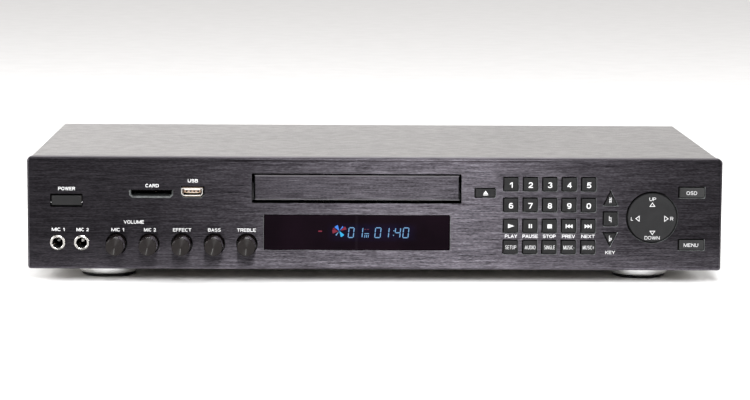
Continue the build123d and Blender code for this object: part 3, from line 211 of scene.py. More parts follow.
# ------------------------------------------------------------------ materials
def brushed_panel():
    s = Shade("panel_brushed_black")
    short = s.noise(s.place((560.0, 2700.0, 2700.0)), 1.0, 1.0, 0.5)
    long = s.noise(s.place((72.0, 2250.0, 2250.0), location=(3.1, 0.0, 7.7)), 1.0, 2.0, 0.55)
    hair = s.noise(s.place((60.0, 5200.0, 5200.0), location=(9.1, 0.0, 1.7)), 1.0, 1.0, 0.5)
    wide = s.noise(s.place((7.0, 60.0, 60.0), location=(1.7, 0.0, 2.3)), 1.0, 3.0, 0.55)
    streak = s.math("ADD", s.math("MULTIPLY", short, 0.42), s.math("MULTIPLY", long, 0.58))
    tone = s.math("ADD", s.math("MULTIPLY", streak, 0.82), s.math("ADD", s.math("MULTIPLY", wide, 0.1), s.math("MULTIPLY", hair, 0.08)))
    where = s.node("ShaderNodeSeparateXYZ")
    s.put(where.inputs[0], s.coord.outputs["Object"])
    # the brushing is finer toward the left end
    tone = s.math("ADD", s.math("MULTIPLY", s.math("SUBTRACT", tone, 0.5), s.math("MULTIPLY", s.span(where.outputs["X"], 0.66, 1.0, -0.15, -0.02), s.span(where.outputs["X"], 1.0, 0.80, 0.02, 0.10))), 0.5)
    color = s.ramp(tone, [(0.33, (0.0012, 0.0011, 0.0013)), (0.50, (0.0195, 0.0178, 0.0208)), (0.67, (0.0490, 0.0455, 0.0520))])
    rough = s.span(long, 0.315, 0.345, 0.3, 0.7)
    # the cut walls of the openings are bare metal; how bright each wall looks is painted highlight and shade, set by
    # which way it faces
    normal = s.node("ShaderNodeSeparateXYZ")
    s.put(normal.inputs[0], s.coord.outputs["Normal"])
    wall = s.span(s.math("ABSOLUTE", normal.outputs["Y"]), 1.0, 0.0, 0.85, 0.95)
    inside = s.math("MULTIPLY", s.math("LESS_THAN", s.math("ABSOLUTE", where.outputs["X"]), 0.2120),
                    s.math("LESS_THAN", s.math("ABSOLUTE", s.math("SUBTRACT", where.outputs["Z"], FOOT_Z + 0.0335)), 0.0305))
    door = s.math("MULTIPLY", s.math("LESS_THAN", s.math("ABSOLUTE", s.math("SUBTRACT", where.outputs["X"], -0.01165)), 0.0780),
                  s.math("GREATER_THAN", where.outputs["Z"], FOOT_Z + 0.0385))
    cut = s.math("MULTIPLY", wall, inside)
    cloud = s.noise(s.place((400.0, 400.0, 400.0)), 1.0, 2.0, 0.5)
    bare = s.mix(s.span(cloud, 0.0, 1.0, 0.35, 0.65), rgb(0.17, 0.18, 0.18), rgb(0.26, 0.275, 0.275))

    def near(x, z, half_x, half_z):
        """1 inside a rectangle on the panel's face, given in millimetres."""
        return s.math("MULTIPLY", s.math("LESS_THAN", s.math("ABSOLUTE", s.math("SUBTRACT", where.outputs["X"], x / 1000.0)), half_x / 1000.0),
                      s.math("LESS_THAN", s.math("ABSOLUTE", s.math("SUBTRACT", where.outputs["Z"], FOOT_Z + z / 1000.0)), half_z / 1000.0))

    # painted highlight: the walls are painted brightest on lower walls and on those that turn toward the middle; upper
    # ones are painted black as shade
    inward = s.math("MULTIPLY", normal.outputs["X"], s.math("SIGN", s.math("SUBTRACT", -0.032, where.outputs["X"])))
    lower = s.span(normal.outputs["Z"], 0.0, 1.0, 0.3, 0.6)
    wall_highlight = s.math("MAXIMUM", s.math("MULTIPLY", s.span(inward, 0.0, 1.0, 0.3, 0.6), 0.85), lower)
    depth = s.math("MULTIPLY", s.math("ADD", where.outputs["Y"], -FACE_Y), 1000.0)
    card, port, window, pad = near(-138.5, 47.0, 14.6, 3.5), near(-113.1, 48.1, 8.2, 4.4), near(-11.42, 23.3, 58.6, 11.7), near(171.5, 33.3, 17.0, 17.0)
    # painted highlight in the card slot: a pale band just behind the mouth that fades to painted shade deeper in,
    # strongest on the lower wall and on the end wall facing the middle; walls facing down get none
    card_rim_highlight = s.ramp(s.span(depth, 0.0, 1.0, 0.0, 2.0), [(0.0, (0.12, 0.12, 0.12)), (0.08, (0.72, 0.72, 0.72)), (0.26, (0.92, 0.92, 0.92)), (0.44, (0.74, 0.74, 0.74)),
                                                   (0.60, (0.36, 0.36, 0.36)), (0.74, (0.03, 0.03, 0.03)), (1.0, (0.005, 0.005, 0.005))])
    ends = s.span(s.math("ABSOLUTE", s.math("SUBTRACT", where.outputs["X"], -0.1385)), 0.42, 0.22, 0.009, 0.0137)
    ends = s.math("ADD", ends, s.span(normal.outputs["X"], 0.0, 0.35, 0.4, 0.7))
    card_rim_highlight = s.math("MULTIPLY", s.math("MULTIPLY", card_rim_highlight, ends), s.span(normal.outputs["Z"], 0.0, 1.0, -0.6, -0.3))
    wall_highlight = s.math("MULTIPLY", wall_highlight, s.math("SUBTRACT", 1.0, s.math("MULTIPLY", window, s.math("ADD", s.math("MULTIPLY", lower, 0.4), 0.6))))
    wall_highlight = s.math("MULTIPLY", wall_highlight, s.math("SUBTRACT", 1.0, s.math("MULTIPLY", pad, 0.6)))
    wall_highlight = s.math("MULTIPLY", wall_highlight, s.math("SUBTRACT", 1.0, s.math("MULTIPLY", port, 0.72)))
    # no painted highlight on the walls round the tray door, the power button and the knob row
    unhighlit_walls = s.math("MAXIMUM", s.math("MAXIMUM", door, near(-190.7, 42.75, 11.0, 5.0)), near(-119.8, 15.9, 48.0, 7.6))
    wall_highlight = s.math("MULTIPLY", wall_highlight, s.math("SUBTRACT", 1.0, unhighlit_walls))
    wall_highlight = s.math("ADD", s.math("MULTIPLY", wall_highlight, s.math("SUBTRACT", 1.0, card)), s.math("MULTIPLY", card_rim_highlight, card))
    lit_wall = s.vmath("SCALE", bare)
    s.put(lit_wall.inputs["Scale"], wall_highlight)
    bare = s.vmath("ADD", lit_wall.outputs["Vector"], (0.0012, 0.0012, 0.0013)).outputs["Vector"]
    mirror = s.math("SUBTRACT", 0.5, s.math("MULTIPLY", cut, s.math("SUBTRACT", 0.5, s.math("MULTIPLY", wall_highlight, 0.5))))
    # painted light: the face is painted brighter toward its lower edge, most of all under the knobs
    height = s.math("SUBTRACT", where.outputs["Z"], FOOT_Z)
    lower_light = s.ramp(s.span(where.outputs["X"], 0.0, 1.0, -0.2, 0.2),
                  [(0.0, (0.62, 0.62, 0.62)), (0.12, (0.62, 0.62, 0.62)), (0.25, (0.70, 0.70, 0.70)), (0.31, (0.66, 0.66, 0.66)), (0.38, (0.39, 0.39, 0.39)),
                   (0.5, (0.33, 0.33, 0.33)), (0.60, (0.36, 0.36, 0.36)), (0.70, (0.40, 0.40, 0.40)), (0.80, (0.46, 0.46, 0.46)), (0.95, (0.66, 0.66, 0.66))])
    lower_light = s.math("SUBTRACT", s.math("MULTIPLY", lower_light, 3.0), 1.0)
    low = s.math("ADD", s.math("MULTIPLY", s.span(height, 1.0, 0.0, 0.006, 0.021), lower_light), 1.0)
    # more painted light along the bottom few millimetres, stronger from 20 mm left of the middle rightward
    low = s.math("MULTIPLY", low, s.math("ADD", s.math("MULTIPLY", s.span(height, 1.0, 0.0, 0.0015, 0.0085), s.span(where.outputs["X"], 0.18, 0.34, -0.045, -0.020)), 1.0))
    # painted light and shade by which way the face turns: the rolled upper edge is painted dark where it turns and
    # given a painted highlight along the top, faces turned down are painted lighter, and near the ends the dark band is
    # lifted
    roll = s.ramp(s.span(normal.outputs["Z"], 0.0, 1.0, -1.0, 1.0),
                  [(0.0, (0.45, 0.45, 0.45)), (0.15, (0.5, 0.5, 0.5)), (0.30, (0.45, 0.45, 0.45)), (0.46, (0.30, 0.30, 0.30)), (0.495, (0.25, 0.25, 0.25)),
                   (0.505, (0.25, 0.25, 0.25)), (0.56, (0.14, 0.14, 0.14)), (0.60, (0.050, 0.050, 0.050)), (0.70, (0.055, 0.055, 0.055)),
                   (0.80, (0.30, 0.30, 0.30)), (0.95, (0.45, 0.45, 0.45)), (0.99, (0.85, 0.85, 0.85))])
    roll = s.math("MAXIMUM", roll, s.span(s.math("ABSOLUTE", s.math("SUBTRACT", where.outputs["X"], 0.01)), 0.05, 0.25, 0.090, 0.13))
    low = s.math("MULTIPLY", s.math("MULTIPLY", low, 4.0), roll)
    leaf = near(-11.65, 50.7, 64.3, 8.85)
    flap = s.math("MULTIPLY", leaf, s.span(where.outputs["X"], 0.0, 0.29, -0.050, -0.022))
    low = s.math("MULTIPLY", low, s.math("SUBTRACT", 1.0, flap))

    def light_patch(x, z, gain):
        """A soft-edged area, in metres, of painted light, or of painted shade where the gain is negative."""
        inner = s.math("MULTIPLY", s.span(where.outputs["X"], 0.0, 1.0, x[0], x[1]), s.span(where.outputs["X"], 1.0, 0.0, x[2], x[3]))
        return s.math("ADD", s.math("MULTIPLY", s.math("MULTIPLY", inner, s.span(height, 0.0, 1.0, z[0], z[1])), gain), 1.0)

    low = s.math("MULTIPLY", low, light_patch((0.004, 0.018, 0.042, 0.058), (0.030, 0.038), -0.14))
    low = s.math("MULTIPLY", low, light_patch((0.078, 0.100, 0.150, 0.172), (0.014, 0.020), 0.30))
    low = s.math("MULTIPLY", low, light_patch((0.072, 0.092, 0.150, 0.172), (0.028, 0.036), -0.18))
    low = s.math("MULTIPLY", low, light_patch((-0.060, -0.050, 0.010, 0.022), (0.0598, 0.0606), -0.20))
    bright = s.vmath("SCALE", color)
    s.put(bright.inputs["Scale"], low)
    color = s.mix(cut, bright.outputs["Vector"], bare)
    # the tray door's bevelled edge is painted as a pale non-metal rim, a painted highlight, paler on the lower bevel
    tilt = s.math("ABSOLUTE", normal.outputs["Z"])
    bevel = s.math("MULTIPLY", leaf, s.math("MULTIPLY", s.span(tilt, 0.0, 1.0, 0.4, 0.5), s.span(tilt, 1.0, 0.0, 0.85, 0.92)))
    color = s.mix(bevel, color, s.mix(s.span(normal.outputs["Z"], 0.0, 1.0, -0.3, 0.3), rgb(0.125, 0.120, 0.128), rgb(0.082, 0.078, 0.084)))
    side = s.vmath("CROSS_PRODUCT", s.coord.outputs["Normal"], (1.0, 0.0, 0.0)).outputs["Vector"]
    along = s.vmath("NORMALIZE", s.vmath("ADD", side, (0.0, 0.0, 0.001)).outputs["Vector"]).outputs["Vector"]
    return s.shader(color=color, metallic=s.math("MULTIPLY", s.math("SUBTRACT", 1.0, bevel), s.math("SUBTRACT", 1.0, s.math("MULTIPLY", cut, s.math("SUBTRACT", 1.0, s.math("MULTIPLY", wall_highlight, 0.4))))),
                    rough=s.math("ADD", rough, s.math("MULTIPLY", cut, 0.15)), level=mirror,
                    aniso=s.math("SUBTRACT", 1.0, cut), tangent=along, normal=s.bump(streak, 0.25, 0.00003))


def satin_cover():
    s = Shade("cover_satin_black")
    grain = s.noise(s.place((900.0, 900.0, 900.0)), 1.0, 3.0, 0.6)
    blotch = s.noise(s.place((130.0, 180.0, 180.0)), 1.0, 2.0, 0.5)
    cloud = s.noise(s.place((14.0, 14.0, 14.0)), 1.0, 2.0, 0.5)
    color = two((0.022, 0.020, 0.0195), (0.036, 0.033, 0.032), cloud, s)
    rough = s.math("ADD", s.span(grain, 0.30, 0.36, 0.35, 0.65), s.span(blotch, -0.035, 0.035, 0.3, 0.7))
    return s.shader(color=color, metallic=0.0, rough=rough, ior=1.5, level=0.5,
                    tint=rgb(1.0, 0.975, 0.965), normal=s.bump(grain, 0.12, 0.00004))


MAT = {}
MAT["panel_black"] = brushed_panel()
MAT["cover_black"] = satin_cover()


def plain_plastic(name, dark, light, rough=(0.42, 0.55), grain=1400.0, bump=0.12, level=0.5, depth=0.00003, coat=None):
    s = Shade(name)
    fine = s.noise(s.place((grain, grain, grain)), 1.0, 3.0, 0.6)
    cloud = s.noise(s.place((45.0, 45.0, 45.0)), 1.0, 2.0, 0.5)
    values = dict(color=two(dark, light, cloud, s), rough=s.span(fine, rough[0], rough[1], 0.35, 0.65),
                  level=level, normal=s.bump(fine, bump, depth))
    if coat:
        values["coat"], values["coat_rough"] = coat
    return s.shader(**values)


def plain_metal(name, dark, light, rough=(0.18, 0.28), grain=700.0, bump=0.08, aniso=0.0, stretch=(1.0, 1.0, 1.0), metallic=1.0):
    s = Shade(name)
    fine = s.noise(s.place(tuple(grain * k for k in stretch)), 1.0, 3.0, 0.6)
    cloud = s.noise(s.place((60.0, 60.0, 60.0)), 1.0, 2.0, 0.5)
    return s.shader(color=two(dark, light, cloud, s), metallic=metallic, rough=s.span(fine, rough[0], rough[1], 0.35, 0.65),
                    aniso=aniso, normal=s.bump(fine, bump, 0.00002))


def key_plastic(name, face_dark, face_light, wall, rough, level):
    s = Shade(name)
    fine = s.noise(s.place((1400.0, 1400.0, 1400.0)), 1.0, 3.0, 0.6)
    cloud = s.noise(s.place((120.0, 120.0, 120.0)), 1.0, 2.0, 0.5)
    split = s.node("ShaderNodeSeparateXYZ")
    s.put(split.inputs[0], s.coord.outputs["Normal"])
    # the key's sides are painted much darker than its face and reflect less, a painted shadow in the gap round it; at
    # the left end the sides facing right are painted lighter, a painted highlight
    front = s.span(s.math("ABSOLUTE", split.outputs["Y"]), 0.0, 1.0, 0.55, 0.9)
    where = s.node("ShaderNodeSeparateXYZ")
    s.put(where.inputs[0], s.coord.outputs["Object"])
    lit_side = s.math("MULTIPLY", s.math("LESS_THAN", where.outputs["X"], -0.18), s.span(split.outputs["X"], 0.0, 1.0, 0.15, 0.5))
    wall = s.mix(lit_side, rgb(*wall), rgb(0.040, 0.038, 0.036))
    color = s.mix(front, wall, two(face_dark, face_light, s.math("MULTIPLY_ADD", fine, 0.5, s.math("MULTIPLY", cloud, 0.5)), s, 0.4, 0.6))
    # painted light: the two keys at the right end are painted a shade lighter, the upper one most, and more toward
    # their right
    right_key_light = s.math("MULTIPLY", s.span(where.outputs["X"], 0.0, 1.0, 0.1885, 0.1890), s.span(where.outputs["Z"], 0.0075, 0.0100, FOOT_Z + 0.030, FOOT_Z + 0.036))
    right_key_light = s.math("MULTIPLY", s.math("MULTIPLY", right_key_light, front), s.span(where.outputs["X"], 0.8, 1.2, 0.189, 0.203))
    color = s.vmath("ADD", color, right_key_light).outputs["Vector"]
    return s.shader(color=color, rough=s.span(fine, rough[0], rough[1], 0.35, 0.65),
                    level=s.math("MULTIPLY", s.math("ADD", front, 0.1), level), normal=s.bump(fine, 0.12, 0.00003))


def smoked_window():
    """Dark red-brown acrylic; the lit digits leave a faint blue bloom in it."""
    s = Shade("window_smoked")
    fine = s.noise(s.place((500.0, 500.0, 500.0)), 1.0, 3.0, 0.6)
    cloud = s.noise(s.place((45.0, 45.0, 45.0)), 1.0, 2.0, 0.5)
    where = s.node("ShaderNodeSeparateXYZ")
    s.put(where.inputs[0], s.coord.outputs["Object"])
    across = s.math("ABSOLUTE", s.math("ADD", where.outputs["X"], 0.002))
    up = s.math("ABSOLUTE", s.math("SUBTRACT", where.outputs["Z"], FOOT_Z + 0.0234))
    bloom = s.math("MULTIPLY", s.span(across, 1.0, 0.0, 0.0215, 0.0285), s.span(up, 1.0, 0.0, 0.0026, 0.0064))
    bloom = s.math("MULTIPLY", bloom, s.span(s.noise(s.place((300.0, 300.0, 300.0)), 1.0, 2.0, 0.5), 0.5, 1.0, 0.35, 0.6))
    # painted reflection: a faint pale vertical line across the window, drawn as glow
    reflection_line = s.span(s.math("ABSOLUTE", s.math("ADD", where.outputs["X"], 0.0117)), 1.0, 0.0, 0.0003, 0.0013)
    blue = s.vmath("SCALE", (0.0008, 0.0022, 0.0140))
    s.put(blue.inputs["Scale"], bloom)
    reflection_glow = s.vmath("SCALE", (0.0045, 0.0036, 0.0045))
    s.put(reflection_glow.inputs["Scale"], reflection_line)
    return s.shader(color=two((0.0020, 0.0007, 0.0018), (0.0032, 0.0012, 0.0028), cloud, s), rough=s.span(fine, 0.10, 0.14, 0.35, 0.65), level=0.022,
                    normal=s.bump(fine, 0.02, 0.00003), glow=s.vmath("ADD", blue.outputs["Vector"], reflection_glow.outputs["Vector"]).outputs["Vector"], glow_strength=1.0)


MAT["window_smoked"] = smoked_window()
MAT["key_black"] = key_plastic("key_black", (0.0060, 0.0060, 0.0062), (0.0092, 0.0092, 0.0096), (0.0015, 0.0015, 0.0015), (0.48, 0.6), 0.14)
MAT["knob_black"] = plain_plastic("knob_black", (0.020, 0.018, 0.017), (0.026, 0.024, 0.022), rough=(0.34, 0.44), level=0.5)
MAT["nav_black"] = key_plastic("nav_black", (0.0078, 0.0078, 0.0083), (0.0108, 0.0108, 0.0114), (0.0015, 0.0015, 0.0015), (0.5, 0.6), 0.14)


def jack_chrome():
    """Bright ring, painted darker round its lower edge as shade."""
    s = Shade("jack_chrome")
    fine = s.noise(s.place((700.0, 700.0, 700.0)), 1.0, 3.0, 0.6)
    where = s.node("ShaderNodeSeparateXYZ")
    s.put(where.inputs[0], s.coord.outputs["Object"])
    lower_shade = s.span(where.outputs["Z"], 0.40, 1.0, FOOT_Z + 0.0164 - 0.0040, FOOT_Z + 0.0164 - 0.0022)
    tone = s.vmath("SCALE", s.mix(fine, rgb(0.40, 0.385, 0.365), rgb(0.50, 0.485, 0.465)))
    s.put(tone.inputs["Scale"], lower_shade)
    return s.shader(color=tone.outputs["Vector"], metallic=1.0, rough=s.span(fine, 0.2, 0.3, 0.35, 0.65), normal=s.bump(fine, 0.08, 0.00002))


def base_steel():
    """Painted steel, left as bare zinc plate underneath."""
    s = Shade("chassis_steel")
    fine = s.noise(s.place((1400.0, 1400.0, 1400.0)), 1.0, 3.0, 0.6)
    cloud = s.noise(s.place((45.0, 45.0, 45.0)), 1.0, 2.0, 0.5)
    spangle = s.noise(s.place((160.0, 160.0, 160.0)), 1.0, 2.0, 0.6)
    normal = s.node("ShaderNodeSeparateXYZ")
    s.put(normal.inputs[0], s.coord.outputs["Normal"])
    where = s.node("ShaderNodeSeparateXYZ")
    s.put(where.inputs[0], s.coord.outputs["Object"])
    under = s.math("MULTIPLY", s.span(normal.outputs["Z"], 1.0, 0.0, -0.95, -0.8), s.span(where.outputs["Z"], 1.0, 0.0, FOOT_Z + 0.0015, FOOT_Z + 0.0030))
    paint = two((0.022, 0.022, 0.023), (0.032, 0.032, 0.033), cloud, s)
    zinc = two((0.46, 0.435, 0.40), (0.60, 0.57, 0.53), spangle, s)
    return s.shader(color=s.mix(under, paint, zinc), metallic=s.math("MULTIPLY", under, 0.7), rough=s.span(fine, 0.4, 0.5, 0.35, 0.65),
                    normal=s.bump(fine, 0.12, 0.00003))


MAT["jack_chrome"] = jack_chrome()
# contact leaf painted pale to stand in for a glint in a jack's bore, a painted highlight; the darker copy is painted
# shade
MAT["jack_leaf"] = plain_plastic("jack_leaf", (0.34, 0.33, 0.31), (0.42, 0.41, 0.39), rough=(0.25, 0.35), bump=0.05)
MAT["jack_leaf_shaded"] = plain_plastic("jack_leaf_shaded", (0.10, 0.098, 0.095), (0.13, 0.128, 0.124), rough=(0.25, 0.35), bump=0.05)
MAT["socket_shell"] = plain_metal("socket_shell", (0.17, 0.125, 0.095), (0.24, 0.18, 0.14), rough=(0.3, 0.4))
MAT["usb_wall"] = plain_plastic("usb_wall", (0.27, 0.262, 0.25), (0.34, 0.33, 0.315), rough=(0.25, 0.35), bump=0.05)
MAT["usb_lip"] = plain_plastic("usb_lip", (0.37, 0.35, 0.325), (0.46, 0.435, 0.41), rough=(0.25, 0.35), bump=0.05)
MAT["usb_tongue_tip"] = plain_plastic("usb_tongue_tip", (0.36, 0.30, 0.26), (0.46, 0.38, 0.33), rough=(0.4, 0.5))
MAT["foot_metal"] = plain_metal("foot_metal", (0.90, 0.90, 0.90), (0.955, 0.955, 0.955), rough=(0.20, 0.26), bump=0.02, metallic=0.68)
MAT["pad_rubber"] = plain_plastic("pad_rubber", (0.012, 0.012, 0.012), (0.02, 0.02, 0.02), rough=(0.7, 0.85), level=0.3)
MAT["chassis_steel"] = base_steel()
MAT["gauze_black"] = plain_plastic("gauze_black", (0.008, 0.008, 0.008), (0.013, 0.013, 0.013), rough=(0.8, 0.9), level=0.1)
MAT["abs_black"] = plain_plastic("abs_black", (0.012, 0.012, 0.012), (0.018, 0.018, 0.018), rough=(0.5, 0.65), level=0.3)
MAT["circuit_board"] = plain_plastic("circuit_board", (0.03, 0.09, 0.035), (0.045, 0.12, 0.05), rough=(0.3, 0.45))
MAT["socket_plastic"] = plain_plastic("socket_plastic", (0.016, 0.016, 0.016), (0.024, 0.024, 0.024), rough=(0.4, 0.55))
MAT["screw_black"] = plain_metal("screw_black", (0.05, 0.05, 0.052), (0.08, 0.08, 0.083), rough=(0.35, 0.5))
MAT["cable_grey"] = plain_plastic("cable_grey", (0.38, 0.38, 0.39), (0.5, 0.5, 0.51), rough=(0.5, 0.6))
MAT["loader_grey"] = plain_plastic("loader_grey", (0.035, 0.035, 0.038), (0.05, 0.05, 0.054), rough=(0.45, 0.6))
MAT["motor_steel"] = plain_metal("motor_steel", (0.46, 0.46, 0.47), (0.58, 0.58, 0.59))
MAT["belt_rubber"] = plain_plastic("belt_rubber", (0.014, 0.014, 0.014), (0.022, 0.022, 0.022), rough=(0.65, 0.8), level=0.3)
MAT["tray_plastic"] = plain_plastic("tray_plastic", (0.018, 0.018, 0.019), (0.026, 0.026, 0.028), rough=(0.45, 0.6), grain=1800.0, bump=0.2)
MAT["gear_plastic"] = plain_plastic("gear_plastic", (0.62, 0.61, 0.57), (0.72, 0.71, 0.67), rough=(0.4, 0.5))

MAT["print_white"] = plain_plastic("print_white", (0.47, 0.47, 0.475), (0.52, 0.52, 0.525), rough=(0.5, 0.6), bump=0.05)
MAT["print_soft"] = plain_plastic("print_soft", (0.39, 0.39, 0.395), (0.43, 0.43, 0.435), rough=(0.5, 0.6), bump=0.05)
MAT["print_grey"] = plain_plastic("print_grey", (0.032, 0.031, 0.0295), (0.044, 0.0425, 0.0405), rough=(0.4, 0.5), bump=0.05)
MAT["jack_black"] = plain_plastic("jack_black", (0.008, 0.008, 0.008), (0.013, 0.013, 0.013), rough=(0.4, 0.5), level=0.3)
MAT["socket_black"] = plain_plastic("socket_black", (0.014, 0.014, 0.014), (0.022, 0.022, 0.022), rough=(0.35, 0.5))
MAT["card_base"] = plain_plastic("card_base", (0.006, 0.006, 0.006), (0.010, 0.010, 0.010), rough=(0.45, 0.6), level=0.3)
MAT["card_lip"] = plain_plastic("card_lip", (0.0022, 0.0026, 0.0026), (0.0042, 0.0050, 0.0050), rough=(0.5, 0.65), level=0.04)
MAT["card_cover"] = plain_metal("card_cover", (0.40, 0.40, 0.41), (0.52, 0.52, 0.53))
MAT["contact_gold"] = plain_metal("contact_gold", (0.72, 0.52, 0.24), (0.80, 0.60, 0.30), rough=(0.2, 0.3))
MAT["usb_tongue"] = plain_plastic("usb_tongue", (0.17, 0.105, 0.070), (0.23, 0.15, 0.10), rough=(0.4, 0.5))
MAT["chip_black"] = plain_plastic("chip_black", (0.012, 0.012, 0.013), (0.018, 0.018, 0.019), rough=(0.4, 0.5))
MAT["screw_steel"] = plain_metal("screw_steel", (0.42, 0.42, 0.43), (0.56, 0.56, 0.57), rough=(0.25, 0.38))
MAT["phono_metal"] = plain_metal("phono_metal", (0.66, 0.66, 0.67), (0.78, 0.78, 0.79), rough=(0.16, 0.26))
MAT["phono_red"] = plain_plastic("phono_red", (0.42, 0.018, 0.016), (0.52, 0.025, 0.022), rough=(0.3, 0.4))
MAT["phono_white"] = plain_plastic("phono_white", (0.62, 0.62, 0.60), (0.74, 0.74, 0.72), rough=(0.3, 0.4))
MAT["phono_yellow"] = plain_plastic("phono_yellow", (0.62, 0.42, 0.02), (0.74, 0.52, 0.03), rough=(0.3, 0.4))
MAT["phono_green"] = plain_plastic("phono_green", (0.015, 0.20, 0.05), (0.02, 0.27, 0.07), rough=(0.3, 0.4))
MAT["phono_blue"] = plain_plastic("phono_blue", (0.012, 0.06, 0.35), (0.018, 0.08, 0.45), rough=(0.3, 0.4))


def glowing(name, color, strength, body=(0.01, 0.01, 0.012)):
    s = Shade(name)
    mesh = s.noise(s.place((2600.0, 2600.0, 2600.0)), 1.0, 1.0, 0.5)
    tone = s.mix(s.span(mesh, 0.0, 1.0, 0.3, 0.7), rgb(*[0.82 * c for c in color]), rgb(*color))
    return s.shader(color=rgb(*body), rough=0.4, level=0.03, glow=tone, glow_strength=strength)


MAT["display_glow"] = glowing("display_glow", (0.19, 0.43, 0.74), 1.0)
MAT["display_blue"] = glowing("display_blue", (0.06, 0.27, 0.95), 1.0)
MAT["display_cyan"] = glowing("display_cyan", (0.03, 0.50, 0.92), 1.0)
MAT["display_red"] = glowing("display_red", (0.26, 0.010, 0.032), 1.0)
MAT["display_red_dim"] = glowing("display_red_dim", (0.12, 0.01, 0.03), 1.0)

def populated_board(name, areas):
    """Green board; each part on it (middle x and y, half sizes, lowest z, tone) has a tone of its own."""
    s = Shade(name)
    fine = s.noise(s.place((1400.0, 1400.0, 1400.0)), 1.0, 3.0, 0.6)
    cloud = s.noise(s.place((90.0, 90.0, 90.0)), 1.0, 2.0, 0.5)
    where = s.node("ShaderNodeSeparateXYZ")
    s.put(where.inputs[0], s.coord.outputs["Object"])
    color = two((0.03, 0.09, 0.035), (0.045, 0.12, 0.05), cloud, s)
    for x, y, half_x, half_y, low, tone in areas:
        along = s.math("LESS_THAN", s.math("ABSOLUTE", s.math("SUBTRACT", where.outputs["X"], x / 1000.0)), (half_x + 0.1) / 1000.0)
        back = s.math("LESS_THAN", s.math("ABSOLUTE", s.math("SUBTRACT", where.outputs["Y"], FACE_Y + y / 1000.0)), (half_y + 0.1) / 1000.0)
        above = s.math("GREATER_THAN", where.outputs["Z"], FOOT_Z + (low + 0.05) / 1000.0)
        part = s.math("MULTIPLY", s.math("MULTIPLY", along, back), above)
        color = s.mix(part, color, two([0.78 * c for c in tone], tone, cloud, s))
    return s.shader(color=color, rough=s.span(fine, 0.32, 0.46, 0.35, 0.65), normal=s.bump(fine, 0.1, 0.00003))


CHIP, CAN, RIM, FINS, CREAM = (0.016, 0.016, 0.017), (0.016, 0.022, 0.075), (0.50, 0.50, 0.51), (0.30, 0.30, 0.31), (0.60, 0.57, 0.49)
MAT["main_board_parts"] = populated_board("main_board_parts", [
    (140, 130, 14, 14, 9.6, CHIP), (140, 130, 12, 12, 11.6, FINS), (110, 100, 9, 5, 9.6, CHIP), (175, 100, 6, 11, 9.6, CHIP),
    (150, 72, 15, 3, 9.6, CREAM), (86, 130, 3, 14, 9.6, CREAM)]
    + [(x, y, 4, 4, low, tone) for x, y in ((100, 160), (112, 160), (124, 172), (180, 160), (192, 150)) for low, tone in ((9.6, CAN), (20.4, RIM))])
MAT["power_board_parts"] = populated_board("power_board_parts", [
    (-150, 125, 15, 25, 9.6, (0.62, 0.44, 0.05)), (-150, 125, 22, 18, 9.6, (0.060, 0.058, 0.056)), (-194, 120, 1.5, 20, 9.6, FINS),
    (-114, 140, 3, 14, 9.6, CREAM), (-172, 188, 8, 4, 9.6, CHIP)]
    + [(x, y, 6.5, 6.5, low, tone) for x, y in ((-182, 165), (-164, 168), (-128, 176)) for low, tone in ((9.6, CHIP), (31.4, RIM))])

slot_of = {sp["node"]: sp.get("material_slot") for sp in frame["record"]["subparts"]}
for name, obj in NODES.items():
    obj.data.materials.clear()
    obj.data.materials.append(MAT.get(name + "_parts") or MAT.get(slot_of.get(name), MAT["abs_black"]))


